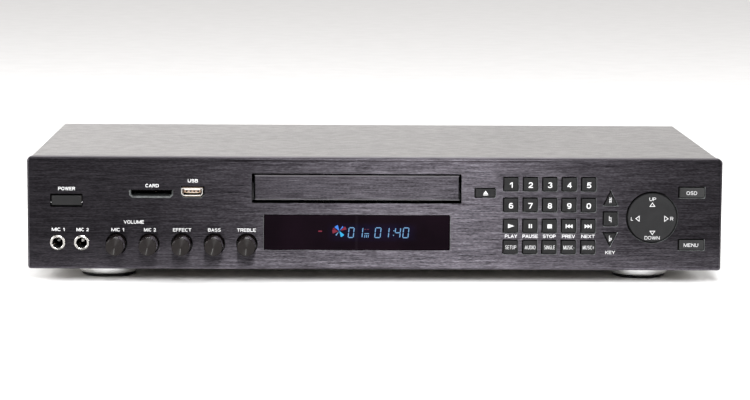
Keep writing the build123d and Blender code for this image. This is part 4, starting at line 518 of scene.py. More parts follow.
# ------------------------------------------------------------------ lettering
# Each letter is a set of strokes on a unit cell: straight ones as (x0, z0, x1, z1),
# bent ones as (cx, cz, rx, rz, from, to) in degrees.
LETTERS = {
    "A": (0.96, [(0.0, -0.02, 0.5, 1.02), (1.0, -0.02, 0.5, 1.02), (0.2, 0.3, 0.8, 0.3)]),
    "B": (0.88, [(0, 0, 0, 1), (0, 1, 0.6, 1), (0, 0.53, 0.62, 0.53), (0, 0, 0.62, 0), (0.6, 0.765, 0.36, 0.235, 90, -90), (0.62, 0.265, 0.38, 0.265, 90, -90)]),
    "C": (0.94, [(0.5, 0.5, 0.5, 0.5, 42, 318)]),
    "D": (0.92, [(0, 0, 0, 1), (0, 1, 0.45, 1), (0, 0, 0.45, 0), (0.45, 0.5, 0.55, 0.5, 90, -90)]),
    "E": (0.80, [(0, 0, 0, 1), (0, 1, 1, 1), (0, 0.52, 0.86, 0.52), (0, 0, 1, 0)]),
    "F": (0.76, [(0, 0, 0, 1), (0, 1, 1, 1), (0, 0.5, 0.84, 0.5)]),
    "G": (0.98, [(0.5, 0.5, 0.5, 0.5, 42, 330), (0.56, 0.46, 1, 0.46), (1, 0.46, 1, 0.0)]),
    "I": (0.0, [(0, 0, 0, 1)]),
    "K": (0.90, [(0, 0, 0, 1), (-0.05, 0.3, 0.96, 1.04), (0.34, 0.6, 1.0, -0.06)]),
    "L": (0.76, [(0, 0, 0, 1), (0, 0, 1, 0)]),
    "M": (1.12, [(0, 0, 0, 1), (1, 0, 1, 1), (0.02, 1.04, 0.5, 0.02), (0.98, 1.04, 0.5, 0.02)]),
    "N": (0.94, [(0, 0, 0, 1), (1, 0, 1, 1), (0.0, 1.04, 1.0, -0.04)]),
    "O": (1.02, [(0.5, 0.5, 0.5, 0.5, 0, 360)]),
    "P": (0.86, [(0, 0, 0, 1), (0, 1, 0.62, 1), (0, 0.45, 0.62, 0.45), (0.62, 0.725, 0.38, 0.275, 90, -90)]),
    "R": (0.90, [(0, 0, 0, 1), (0, 1, 0.62, 1), (0, 0.47, 0.62, 0.47), (0.62, 0.735, 0.38, 0.265, 90, -90), (0.5, 0.5, 1.0, -0.05)]),
    "S": (0.88, [(0.5, 0.76, 0.46, 0.24, 25, 270), (0.5, 0.26, 0.5, 0.26, 90, -155)]),
    "T": (0.86, [(0, 1, 1, 1), (0.5, 0, 0.5, 1)]),
    "U": (0.92, [(0, 0.42, 0, 1), (1, 0.42, 1, 1), (0.5, 0.42, 0.5, 0.42, 180, 360)]),
    "V": (0.92, [(0.0, 1.04, 0.5, -0.04), (1.0, 1.04, 0.5, -0.04)]),
    "W": (1.34, [(0.0, 1.04, 0.25, -0.04), (0.5, 1.04, 0.25, -0.04), (0.5, 1.04, 0.75, -0.04), (1.0, 1.04, 0.75, -0.04)]),
    "X": (0.90, [(0.0, -0.04, 1.0, 1.04), (0.0, 1.04, 1.0, -0.04)]),
    "Y": (0.92, [(-0.02, 1.06, 0.5, 0.44), (1.02, 1.06, 0.5, 0.44), (0.5, 0, 0.5, 0.46)]),
    "0": (0.76, [(0.5, 0.5, 0.5, 0.5, 0, 360)]),
    "1": (0.40, [(1, 0, 1, 1), (0.0, 0.74, 1.0, 1.02)]),
    "2": (0.76, [(0.48, 0.7, 0.46, 0.3, 172, -38), (0.84, 0.515, 0.0, 0.0), (0, 0, 1, 0)]),
    "3": (0.76, [(0.47, 0.76, 0.42, 0.24, 160, -90), (0.47, 0.26, 0.5, 0.26, 90, -165)]),
    "4": (0.80, [(0.74, 0, 0.74, 1), (0.78, 1.04, 0.0, 0.28), (0, 0.26, 1, 0.26)]),
    "5": (0.76, [(0.16, 1, 0.94, 1), (0.16, 1, 0.07, 0.5), (0.48, 0.31, 0.48, 0.31, 142, -158)]),
    "6": (0.76, [(0.5, 0.3, 0.48, 0.3, 0, 360), (0.56, 0.42, 0.54, 0.58, 52, 190)]),
    "7": (0.76, [(0, 1, 1, 1), (1.0, 1.0, 0.3, -0.05)]),
    "8": (0.76, [(0.5, 0.76, 0.41, 0.24, 0, 360), (0.5, 0.26, 0.48, 0.26, 0, 360)]),
    "9": (0.76, [(0.5, 0.7, 0.48, 0.3, 0, 360), (0.44, 0.58, 0.54, 0.58, 232, 370)]),
    "-": (0.36, [(0, 0.42, 1, 0.42)]),
    "+": (0.52, [(0, 0.45, 1, 0.45), (0.5, 0.1, 0.5, 0.8)]),
}


def clipped(poly, w, h):
    """Convex outline cut to the letter's own cell."""
    for axis, limit, keep in ((0, 0.0, 1), (0, w, -1), (1, 0.0, 1), (1, h, -1)):
        out = []
        for i, a in enumerate(poly):
            b = poly[(i + 1) % len(poly)]
            da, db = keep * (a[axis] - limit), keep * (b[axis] - limit)
            if da >= 0:
                out.append(a)
            if (da >= 0) != (db >= 0):
                k = da / (da - db)
                out.append((a[0] + k * (b[0] - a[0]), a[1] + k * (b[1] - a[1])))
        poly = out
        if not poly:
            break
    return poly


def stroke_shapes(char, w, h, t):
    """A letter's strokes as closed outlines in a cell w by h, t wide; a ring is an (outer, inner) pair."""
    sw, sh = max(w - t, 0.0), h - t
    shapes = []
    for s in LETTERS[char][1]:
        if len(s) == 4:
            x0, z0, x1, z1 = t / 2 + s[0] * sw, t / 2 + s[1] * sh, t / 2 + s[2] * sw, t / 2 + s[3] * sh
            d = math.hypot(x1 - x0, z1 - z0)
            ux, uz = (x1 - x0) / d, (z1 - z0) / d
            e = t / 2
            x0, z0, x1, z1 = x0 - ux * e, z0 - uz * e, x1 + ux * e, z1 + uz * e
            px, pz = -uz * t / 2, ux * t / 2
            poly = clipped([(x0 + px, z0 + pz), (x0 - px, z0 - pz), (x1 - px, z1 - pz), (x1 + px, z1 + pz)], w, h)
            if len(poly) > 2:
                shapes.append((poly, None))
        else:
            cx, cz, rx, rz, a0, a1 = s
            cx, cz, rx, rz = t / 2 + cx * sw, t / 2 + cz * sh, rx * sw, rz * sh
            n = max(6, int(abs(a1 - a0) / 12))
            outer, inner = [], []
            for i in range(n + 1):
                a = math.radians(a0 + (a1 - a0) * i / n)
                ca, sa = math.cos(a), math.sin(a)
                # squarish bends: superellipse of exponent 2.5
                k = (abs(ca) ** 2.5 + abs(sa) ** 2.5) ** (-1 / 2.5)
                outer.append((cx + (rx + t / 2) * ca * k, cz + (rz + t / 2) * sa * k))
                inner.append((cx + max(rx - t / 2, 0.02) * ca * k, cz + max(rz - t / 2, 0.02) * sa * k))
            if abs(a1 - a0) >= 359.9:
                shapes.append((outer[:-1], inner[:-1]))
            else:
                shapes.append((outer + inner[::-1], None))
    return shapes


def merged(shapes):
    """One flat mesh from overlapping outlines: (points, triangles)."""
    verts, faces, kinds = [], [], []
    for outer, inner in shapes:
        for loop, kind in ((outer, 1), (inner, -1)):
            if not loop:
                continue
            if sum(a[0] * b[1] - b[0] * a[1] for a, b in zip(loop, loop[1:] + loop[:1])) < 0:
                loop = loop[::-1]
            faces.append(list(range(len(verts), len(verts) + len(loop))))
            kinds.append((kind, len(kinds)))
            verts += [Vector(p) for p in loop]
    pts, _, tris, _, _, from_face = delaunay_2d_cdt(verts, [], faces, 1, 1e-5)
    out = []
    for tri, origin in zip(tris, from_face):
        inside = 0
        for k in range(len(kinds)):
            if kinds[k][0] > 0 and k in origin:
                # a ring's hole follows its outline in the list
                if k + 1 < len(kinds) and kinds[k + 1][0] < 0 and (k + 1) in origin:
                    continue
                inside = 1
        if inside:
            out.append(list(tri))
    used = sorted({i for tri in out for i in tri})
    index = {i: k for k, i in enumerate(used)}
    return [tuple(pts[i]) for i in used], [[index[i] for i in tri] for tri in out]


# ------------------------------------------------------------------ mesh pieces
AXES = {
    "front": lambda r, c, s, h: (r * c, -h, r * s),
    "rear": lambda r, c, s, h: (r * c, h, r * s),
    "up": lambda r, c, s, h: (r * c, r * s, h),
    "right": lambda r, c, s, h: (h, r * c, r * s),
    "left": lambda r, c, s, h: (-h, r * c, r * s),
}


class Piece:
    """A mesh gathered in drawing millimetres and set down as one object."""

    def __init__(self, name):
        self.name = name
        self.bm = bmesh.new()
        self.mats = []

    def add(self, verts, faces, mat, smooth=True):
        if mat not in self.mats:
            self.mats.append(mat)
        index = self.mats.index(mat)
        made = [self.bm.verts.new(P(*v)) for v in verts]
        for f in faces:
            try:
                face = self.bm.faces.new([made[i] for i in f])
            except ValueError:
                continue
            face.material_index = index
            face.smooth = smooth

    def take(self, bm, mat, smooth=True, move=None):
        """Copies a scratch bmesh in drawing millimetres into the piece."""
        bm.verts.ensure_lookup_table()
        verts = [tuple(move(v.co)) if move else tuple(v.co) for v in bm.verts]
        faces = [[v.index for v in f.verts] for f in bm.faces]
        self.add(verts, faces, mat, smooth)

    def lathe(self, profile, at, axis, mat, segs=48, closed=False, smooth=True):
        """Turned solid: profile is (radius, height) pairs; closed joins its last point to its first."""
        place = AXES[axis]
        verts, rings = [], []
        for r, h in profile:
            if r < 1e-6:
                rings.append([len(verts)])
                verts.append(tuple(a + b for a, b in zip(at, place(0.0, 1.0, 0.0, h))))
            else:
                ring = []
                for i in range(segs):
                    a = 2 * math.pi * i / segs
                    ring.append(len(verts))
                    verts.append(tuple(p + q for p, q in zip(at, place(r, math.cos(a), math.sin(a), h))))
                rings.append(ring)
        faces = []
        pairs = list(zip(rings, rings[1:])) + ([(rings[-1], rings[0])] if closed else [])
        for low, high in pairs:
            if len(low) == 1 and len(high) == 1:
                continue
            for i in range(segs):
                j = (i + 1) % segs
                if len(low) == 1:
                    faces.append([low[0], high[j], high[i]])
                elif len(high) == 1:
                    faces.append([low[i], low[j], high[0]])
                else:
                    faces.append([low[i], low[j], high[j], high[i]])
        self.add(verts, faces, mat, smooth)

    def block(self, x0, x1, y0, y1, z0, z1, mat, r=0.2, segs=2, turn=None):
        """Box with rounded edges; turn is (angle, axis letter) about its own middle."""
        bm = bmesh.new()
        bmesh.ops.create_cube(bm, size=1.0)
        size = (x1 - x0, y1 - y0, z1 - z0)
        for v in bm.verts:
            v.co = Vector((v.co.x * size[0], v.co.y * size[1], v.co.z * size[2]))
        if r > 0:
            bmesh.ops.bevel(bm, geom=bm.edges[:], offset=min(r, 0.45 * min(size)), segments=segs, profile=0.5, affect="EDGES")
        if turn:
            bmesh.ops.rotate(bm, verts=bm.verts[:], cent=(0, 0, 0), matrix=Matrix.Rotation(math.radians(turn[0]), 3, turn[1]))
        mid = Vector(((x0 + x1) / 2, (y0 + y1) / 2, (z0 + z1) / 2))
        bm.verts.index_update()
        self.take(bm, mat, True, lambda c: c + mid)
        bm.free()

    def prism(self, loop, y0, y1, mat, r=0.0, segs=2, smooth=True):
        """Flat outline of (x, z) pairs run from y0 (front) to y1, with its front edge rounded by r."""
        bm = bmesh.new()
        front = [bm.verts.new((x, y0, z)) for x, z in loop]
        back = [bm.verts.new((x, y1, z)) for x, z in loop]
        n = len(loop)
        top = bm.faces.new(front)
        bm.faces.new(list(reversed(back)))
        for i in range(n):
            j = (i + 1) % n
            bm.faces.new([front[i], back[i], back[j], front[j]])
        bmesh.ops.recalc_face_normals(bm, faces=bm.faces[:])
        if r > 0:
            bmesh.ops.bevel(bm, geom=list(top.edges), offset=r, segments=segs, profile=0.5, affect="EDGES")
        bm.verts.index_update()
        self.take(bm, mat, smooth)
        bm.free()

    def plate(self, loops, y0, y1, mat):
        """Flat shape with holes: closed loops of (x, z), filled even-odd, from y0 to y1."""
        data = bpy.data.curves.new("scratch", "CURVE")
        data.dimensions = "2D"
        data.fill_mode = "BOTH"
        for loop in loops:
            sp = data.splines.new("POLY")
            sp.points.add(len(loop) - 1)
            for p, (x, z) in zip(sp.points, loop):
                p.co = (x, z, 0.0, 1.0)
            sp.use_cyclic_u = True
        data.extrude = 0.5
        self.curve(data, lambda c: (c.x, y0 + (0.5 - c.z) * (y1 - y0), c.y), mat)

    def curve(self, data, move, mat):
        ob = bpy.data.objects.new("scratch", data)
        SCENE.collection.objects.link(ob)
        bpy.context.view_layer.update()
        mesh = bpy.data.meshes.new_from_object(ob.evaluated_get(bpy.context.evaluated_depsgraph_get()))
        bm = bmesh.new()
        bm.from_mesh(mesh)
        bmesh.ops.remove_doubles(bm, verts=bm.verts[:], dist=1e-5)
        bm.verts.index_update()
        self.take(bm, mat, False, move)
        bm.free()
        bpy.data.objects.remove(ob)
        bpy.data.meshes.remove(mesh)
        bpy.data.curves.remove(data)

    def words(self, text, cx, cz, w, h, y, mat="print_white", t=0.42, thick=0.03, sink=0.02, facing="front", gap=0.26):
        """Lettering of width w and height h in strokes t wide, centred on (cx, cz), standing thick in front of y."""
        widths = [LETTERS[c][0] if c != " " else 0.42 for c in text]
        fixed = t * text.count("I")
        k = (w - fixed - gap * (len(text) - 1)) / sum(widths)
        side = 1.0 if facing == "front" else -1.0
        x = -w / 2
        for c, rel in zip(text, widths):
            cell = t if c == "I" else rel * k
            if c != " ":
                pts, tris = merged(stroke_shapes(c, cell, h, t))
                self.slab([(cx + side * (x + p[0]), cz - h / 2 + p[1]) for p in pts], tris, y - side * thick, y + side * sink, mat)
            x += cell + gap

    def slab(self, pts, tris, y0, y1, mat):
        """Flat triangles given thickness between y0 and y1."""
        n = len(pts)
        edges = {}
        for tri in tris:
            for a, b in zip(tri, tri[1:] + tri[:1]):
                edges[(a, b)] = edges.get((a, b), 0) + 1
        faces = [list(t) for t in tris] + [[i + n for i in reversed(t)] for t in tris]
        for a, b in edges:
            if (b, a) not in edges:
                faces.append([b, a, a + n, b + n])
        self.add([(x, y0, z) for x, z in pts] + [(x, y1, z) for x, z in pts], faces, mat, False)

    def set_down(self, body, slot=None, replaces=(), sharp=32.0, merge=0.0):
        if merge:
            bmesh.ops.remove_doubles(self.bm, verts=self.bm.verts[:], dist=merge)
        bmesh.ops.recalc_face_normals(self.bm, faces=self.bm.faces[:])
        mesh = bpy.data.meshes.new(self.name)
        self.bm.to_mesh(mesh)
        self.bm.free()
        for key in self.mats:
            mesh.materials.append(MAT[key])
        mesh.set_sharp_from_angle(angle=math.radians(sharp))
        obj = bpy.data.objects.new(self.name, mesh)
        SCENE.collection.objects.link(obj)
        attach(obj, body)
        if replaces:
            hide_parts(*replaces)
        return obj


def circle(cx, cz, r, n=40, phase=0.0):
    return [(cx + r * math.cos(phase + 2 * math.pi * i / n), cz + r * math.sin(phase + 2 * math.pi * i / n)) for i in range(n)]


def rounded(cx, cz, w, h, r, n=5):
    pts = []
    for sx, sz, a0 in ((1, 1, 0), (-1, 1, 90), (-1, -1, 180), (1, -1, 270)):
        for i in range(n + 1):
            a = math.radians(a0 + 90.0 * i / n)
            pts.append((cx + sx * (w / 2 - r) + r * math.cos(a), cz + sz * (h / 2 - r) + r * math.sin(a)))
    return pts


# ------------------------------------------------------------------ printed legends
def panel_legends():
    p = Piece("panel_legends")
    h = 2.08
    for text, x, z, w in (
        ("POWER", -190.55, 50.05, 10.3), ("CARD", -137.9, 52.05, 8.2), ("USB", -112.8, 55.15, 6.2),
        ("VOLUME", -149.3, 29.4, 12.4), ("MIC 1", -195.95, 24.62, 7.9), ("MIC 2", -180.9, 24.55, 7.6),
        ("MIC 1", -159.3, 24.55, 7.8), ("MIC 2", -139.35, 24.55, 7.4), ("EFFECT", -119.5, 24.55, 11.3),
        ("BASS", -99.6, 24.55, 7.8), ("TREBLE", -79.8, 24.55, 11.6),
        ("PLAY", 84.1, 21.35, 7.6), ("PAUSE", 96.0, 21.35, 9.6), ("STOP", 107.9, 21.35, 8.1),
        ("PREV", 119.8, 21.35, 8.1), ("NEXT", 131.95, 21.35, 8.3), ("KEY", 145.85, 11.35, 6.1),
    ):
        p.words(text, x, z, w, h, 0.0, mat="print_soft" if text == "KEY" else "print_white", t=0.36)
    p.set_down("chassis", "print_white")


def key_legend(name, build):
    p = Piece("legend_" + name)
    build(p)
    p.set_down(name, "print_white")


KEY_FACE = -0.9


def ink(p, loops, y=KEY_FACE, mat="print_white"):
    p.plate(loops, y - 0.03, y + 0.02, mat)


def keypad_legends():
    xs, zs = (83.7, 95.8, 107.8, 119.8, 131.9), (53.8, 40.9, 27.8, 14.6)
    for i, d in enumerate("1234567890"):
        x, z = xs[i % 5], zs[i // 5]
        w = 1.75 if d == "1" else 2.75
        key_legend("key_" + d, lambda p: p.words(d, x + 0.1, z - 0.4, w, 3.5, KEY_FACE, t=0.6))
    x, z = xs[0] + 0.35, zs[2]
    key_legend("key_play", lambda p: ink(p, [[(x - 1.95, z - 1.35), (x + 1.95, z), (x - 1.95, z + 1.35)]]))
    x = xs[1] + 0.15
    key_legend("key_pause", lambda p: [ink(p, [rounded(x + k, z, 0.75, 2.5, 0.08, 2)]) for k in (-0.66, 0.66)])
    x = xs[2] + 0.15
    key_legend("key_stop", lambda p: ink(p, [rounded(x, z - 0.1, 2.8, 2.5, 0.1, 2)]))

    def skip_marks(p, cx, s):
        """Two triangles that point along s, ending in a bar."""
        for k in (-1.35, 0.45):
            ink(p, [[(cx + s * (k - 0.9), z - 1.3), (cx + s * (k + 0.9), z), (cx + s * (k - 0.9), z + 1.3)]])
        ink(p, [rounded(cx + s * 1.72, z, 0.55, 2.6, 0.05, 2)])

    key_legend("key_previous", lambda p: skip_marks(p, xs[3] + 0.1, -1))
    key_legend("key_next", lambda p: skip_marks(p, xs[4] + 0.0, 1))
    for name, text, i, w in (("key_setup", "SETUP", 0, 6.9), ("key_audio", "AUDIO", 1, 6.6), ("key_single", "SINGLE", 2, 6.7),
                             ("key_music_minus", "MUSIC-", 3, 6.8), ("key_music_plus", "MUSIC+", 4, 6.9)):
        key_legend(name, lambda p: p.words(text, xs[i] + 0.25, zs[3] - 0.1, w, 2.35, KEY_FACE, mat="print_soft", t=0.25, gap=0.22))


def other_legends():
    key_legend("eject_button", lambda p: [ink(p, [[(66.5, 47.75), (69.5, 47.75), (68.0, 49.75)]]), ink(p, [rounded(68.0, 47.15, 3.0, 0.5, 0.05, 2)])])
    key_legend("osd_button", lambda p: p.words("OSD", 195.8, 48.75, 6.5, 2.2, KEY_FACE, mat="print_soft", t=0.31, gap=0.34))
    key_legend("menu_button", lambda p: p.words("MENU", 195.95, 16.2, 9.0, 2.2, KEY_FACE, mat="print_soft", t=0.31, gap=0.34))

    def mark(p, shapes):
        pts, tris = merged([(loop, None) for loop in shapes])
        p.slab(pts, tris, KEY_FACE - 0.03, KEY_FACE + 0.02, "print_soft")

    def sharp(p):
        x, z = 145.45, 44.1
        mark(p, [[(x + k - 0.17, z - 1.7), (x + k + 0.17, z - 1.6), (x + k + 0.17, z + 1.8), (x + k - 0.17, z + 1.7)] for k in (-0.42, 0.42)]
             + [[(x - 0.85, z + k - 0.42), (x + 0.85, z + k + 0.02), (x + 0.85, z + k + 0.42), (x - 0.85, z + k - 0.02)] for k in (-0.62, 0.62)])

    def natural(p):
        x, z = 145.45, 32.4
        mark(p, [[(x - 0.75, z - 1.15), (x - 0.42, z - 1.05), (x - 0.42, z + 1.95), (x - 0.75, z + 1.95)],
                 [(x + 0.42, z - 1.95), (x + 0.75, z - 1.95), (x + 0.75, z + 1.15), (x + 0.42, z + 1.05)]]
             + [[(x - 0.6, z + k - 0.42), (x + 0.6, z + k - 0.08), (x + 0.6, z + k + 0.36), (x - 0.6, z + k + 0.02)] for k in (-0.75, 0.75)])

    def flat(p):
        x, z = 145.3, 20.2
        ink(p, [[(x - 0.38, z - 1.85), (x, z - 1.75), (x + 1.0, z - 1.0), (x + 1.38, z - 0.35), (x + 1.2, z + 0.3), (x + 0.7, z + 0.42), (x, z + 0.1),
                 (x, z + 1.85), (x - 0.38, z + 1.85)],
                [(x + 0.02, z - 1.05), (x + 0.55, z - 0.68), (x + 0.78, z - 0.3), (x + 0.68, z - 0.06), (x + 0.45, z - 0.02), (x + 0.02, z - 0.25)]], mat="print_soft")

    key_legend("key_sharp", sharp)
    key_legend("key_natural", natural)
    key_legend("key_flat", flat)

    p = Piece("nav_pad_legends")
    y = -1.2
    p.words("UP", 171.6, 44.9, 4.1, 2.15, y, mat="print_soft", t=0.29)
    p.words("DOWN", 171.65, 20.75, 9.4, 2.15, y, mat="print_soft", t=0.29)
    p.words("L", 158.95, 32.65, 1.35, 2.2, y, mat="print_soft", t=0.29)
    p.words("R", 183.6, 32.75, 1.85, 2.2, y, mat="print_soft", t=0.29)

    def arrow(cx, cz, along, half, length, t=0.42):
        """Hollow triangle that points along a direction in the pad's face."""
        ux, uz = along
        vx, vz = -uz, ux
        k = t * (math.hypot(length, half) + half) / length
        outer = [(-length / 2, -half), (length / 2, 0.0), (-length / 2, half)]
        tip = length / 2 - t * math.hypot(length, half) / half
        inner = [(-length / 2 + t, -(half - k)), (tip, 0.0), (-length / 2 + t, half - k)]
        ink(p, [[(cx + a * ux + b * vx, cz + a * uz + b * vz) for a, b in loop] for loop in (outer, inner)], y, "print_soft")

    arrow(171.45, 41.6, (0, 1), 1.85, 2.75)
    arrow(171.75, 23.8, (0, -1), 1.85, 2.75)
    arrow(162.3, 32.75, (-1, 0), 1.95, 2.7)
    arrow(180.4, 32.75, (1, 0), 1.95, 2.8)
    p.set_down("nav_pad", "print_white")


# ------------------------------------------------------------------ display
WINDOW_FACE = 0.25
SEGMENTS = {
    "0": "abcdef", "1": "bc", "2": "abged", "3": "abgcd", "4": "fgbc", "5": "afgcd", "6": "afgedc", "7": "abc", "8": "abcdefg", "9": "abfgcd",
}


def segment_shapes(w, h, t, gap=0.12):
    """The seven segments of a digit as outlines in a cell of w by h, with strokes t wide."""
    m = h / 2

    def bar(x0, x1, z):
        k = t / 2
        return [(x0 + gap, z), (x0 + gap + k, z + k), (x1 - gap - k, z + k), (x1 - gap, z), (x1 - gap - k, z - k), (x0 + gap + k, z - k)]

    def post(z0, z1, x):
        k = t / 2
        return [(x, z0 + gap), (x + k, z0 + gap + k), (x + k, z1 - gap - k), (x, z1 - gap), (x - k, z1 - gap - k), (x - k, z0 + gap + k)]

    k = t / 2
    return {
        "a": bar(k, w - k, h - k), "g": bar(k, w - k, m), "d": bar(k, w - k, k),
        "f": post(m, h - k, k), "b": post(m, h - k, w - k), "e": post(k, m, k), "c": post(k, m, w - k),
    }


def display():
    lean = 0.1
    p = Piece("display_digits")
    z0, h, t = 19.85, 6.7, 0.58
    y = WINDOW_FACE

    def put(shapes, x0, grow=0.0):
        for loop in shapes:
            pts = [(x0 + x + lean * z, z0 + z) for x, z in loop]
            p.plate([pts], y - 0.03, y + 0.02, "display_glow")

    for ch, x0, w in (("0", -17.2, 3.75), ("1", -11.6, 3.55), ("0", -0.75, 3.95), ("1", 4.65, 3.6), ("4", 11.65, 3.7), ("0", 16.6, 3.85)):
        cells = segment_shapes(w, h, t)
        put([cells[s] for s in SEGMENTS[ch]], x0)
    for z in (1.75, 4.6):
        put([rounded(11.05, z, 0.62, 0.62, 0.2, 3)], 0.0)
    # small stacked mark between the two groups of digits
    put([rounded(-5.6, 2.75, 2.9, 0.42, 0.08, 2), rounded(-5.6, 1.1, 0.5, 1.7, 0.08, 2), rounded(-6.7, 1.1, 0.42, 1.7, 0.08, 2),
         rounded(-4.5, 1.1, 0.42, 1.7, 0.08, 2)], 0.0)
    # turning-disc mark: two bright blades
    cx, cz = -22.35, 24.2

    def blade(a0, a1, r0, r1, n=6):
        pts = [(cx + r1 * math.cos(math.radians(a0 + (a1 - a0) * i / n)), cz + r1 * math.sin(math.radians(a0 + (a1 - a0) * i / n))) for i in range(n + 1)]
        pts += [(cx + r0 * math.cos(math.radians(a1 + (a0 - a1) * i / n)), cz + r0 * math.sin(math.radians(a1 + (a0 - a1) * i / n))) for i in range(n + 1)]
        return pts

    for a0, a1, r1, mat in ((104, 142, 3.75, "display_blue"), (284, 322, 3.9, "display_cyan"), (44, 58, 3.6, "display_blue"), (226, 240, 3.4, "display_glow")):
        p.plate([blade(a0, a1, 0.25, r1)], y - 0.03, y + 0.02, mat)
    p.set_down("chassis", "display_glow")

    q = Piece("display_red_marks")
    for a0, a1, r0, r1 in ((168, 202, 1.1, 4.3), (12, 38, 1.2, 4.5), (152, 164, 2.4, 4.2)):
        q.plate([blade(a0, a1, r0, r1)], y - 0.03, y + 0.02, "display_red")
    q.plate([rounded(-34.2, 24.0, 2.3, 0.75, 0.3, 3)], y - 0.03, y + 0.02, "display_red")
    for k in (-6.3, -4.6):
        q.plate([rounded(k, 25.25, 1.1, 0.45, 0.15, 3)], y - 0.03, y + 0.02, "display_red_dim")
    q.set_down("chassis", "display_red")


# ------------------------------------------------------------------ knobs
KNOBS = {"mic1_volume_knob": (-160.1, -8.0), "mic2_volume_knob": (-139.9, -14.0), "effect_knob": (-119.7, -5.0),
         "bass_knob": (-99.6, -16.0), "treble_knob": (-79.5, -4.0)}
KNOB_Z, KNOB_FACE = 15.9, -15.5


def turned_knob(name, cx):
    """Black turned face: the grooves of the cut run round the knob's own axis."""
    s = Shade("knob_turned_" + name)
    centre = P(cx, 0.0, KNOB_Z)
    off = s.vmath("SUBTRACT", s.coord.outputs["Object"], tuple(centre)).outputs["Vector"]
    flat = s.vmath("MULTIPLY", off, (1.0, 0.0, 1.0)).outputs["Vector"]
    radius = s.vmath("LENGTH", flat).outputs["Value"]
    radial = s.vmath("NORMALIZE", flat).outputs["Vector"]
    split = s.node("ShaderNodeSeparateXYZ")
    s.put(split.inputs[0], s.coord.outputs["Normal"])
    facing = s.math("ABSOLUTE", split.outputs["Y"])
    axis = s.vmath("SCALE", (0.0, 1.0, 0.0))
    s.put(axis.inputs["Scale"], s.math("SUBTRACT", 1.0, facing))
    out = s.vmath("SCALE", radial)
    s.put(out.inputs["Scale"], facing)
    along = s.vmath("NORMALIZE", s.vmath("ADD", axis.outputs["Vector"], out.outputs["Vector"]).outputs["Vector"]).outputs["Vector"]
    ring = s.node("ShaderNodeCombineXYZ")
    s.put(ring.inputs[0], s.math("MULTIPLY", radius, 5200.0))
    groove = s.noise(ring.outputs[0], 1.0, 2.0, 0.6)
    cloud = s.noise(s.place((240.0, 240.0, 240.0)), 1.0, 2.0, 0.5)
    color = s.mix(s.math("MULTIPLY_ADD", groove, 0.6, s.math("MULTIPLY", cloud, 0.4)), rgb(0.0055, 0.0042, 0.0040), rgb(0.0090, 0.0070, 0.0067))
    face = s.span(facing, 0.0, 1.0, 0.6, 0.9)
    rough = s.math("ADD", s.math("MULTIPLY", face, s.span(groove, 0.26, 0.32, 0.3, 0.7)), 0.1)
    # painted highlight: the skirt's upward-facing side is given a stronger reflection than its other sides
    skirt = s.math("MULTIPLY", s.math("SUBTRACT", 1.0, face), s.span(split.outputs["Z"], 0.06, 0.30, 0.45, 0.85))
    return s.shader(color=color, rough=rough, aniso=s.math("MULTIPLY", face, 0.75), tangent=along,
                    level=s.math("ADD", s.math("MULTIPLY", face, 0.17), skirt), normal=s.bump(groove, 0.15, 0.00003))


def knobs():
    for name, (cx, lean) in KNOBS.items():
        MAT[name] = turned_knob(name, cx)
        NODES[name].data.materials.clear()
        NODES[name].data.materials.append(MAT[name])
        p = Piece(name + "_pointer")
        a = math.radians(lean)
        pts = []
        for u, v in ((-0.28, -0.95), (-0.28, -4.6), (-0.18, -4.78), (0.18, -4.78), (0.28, -4.6), (0.28, -0.95), (0.18, -0.82), (-0.18, -0.82)):
            pts.append((cx + u * math.cos(a) - v * math.sin(a), KNOB_Z + u * math.sin(a) + v * math.cos(a)))
        p.prism(pts, KNOB_FACE + 0.16, KNOB_FACE + 0.47, "print_grey", r=0.06)
        p.set_down(name, "print_white")


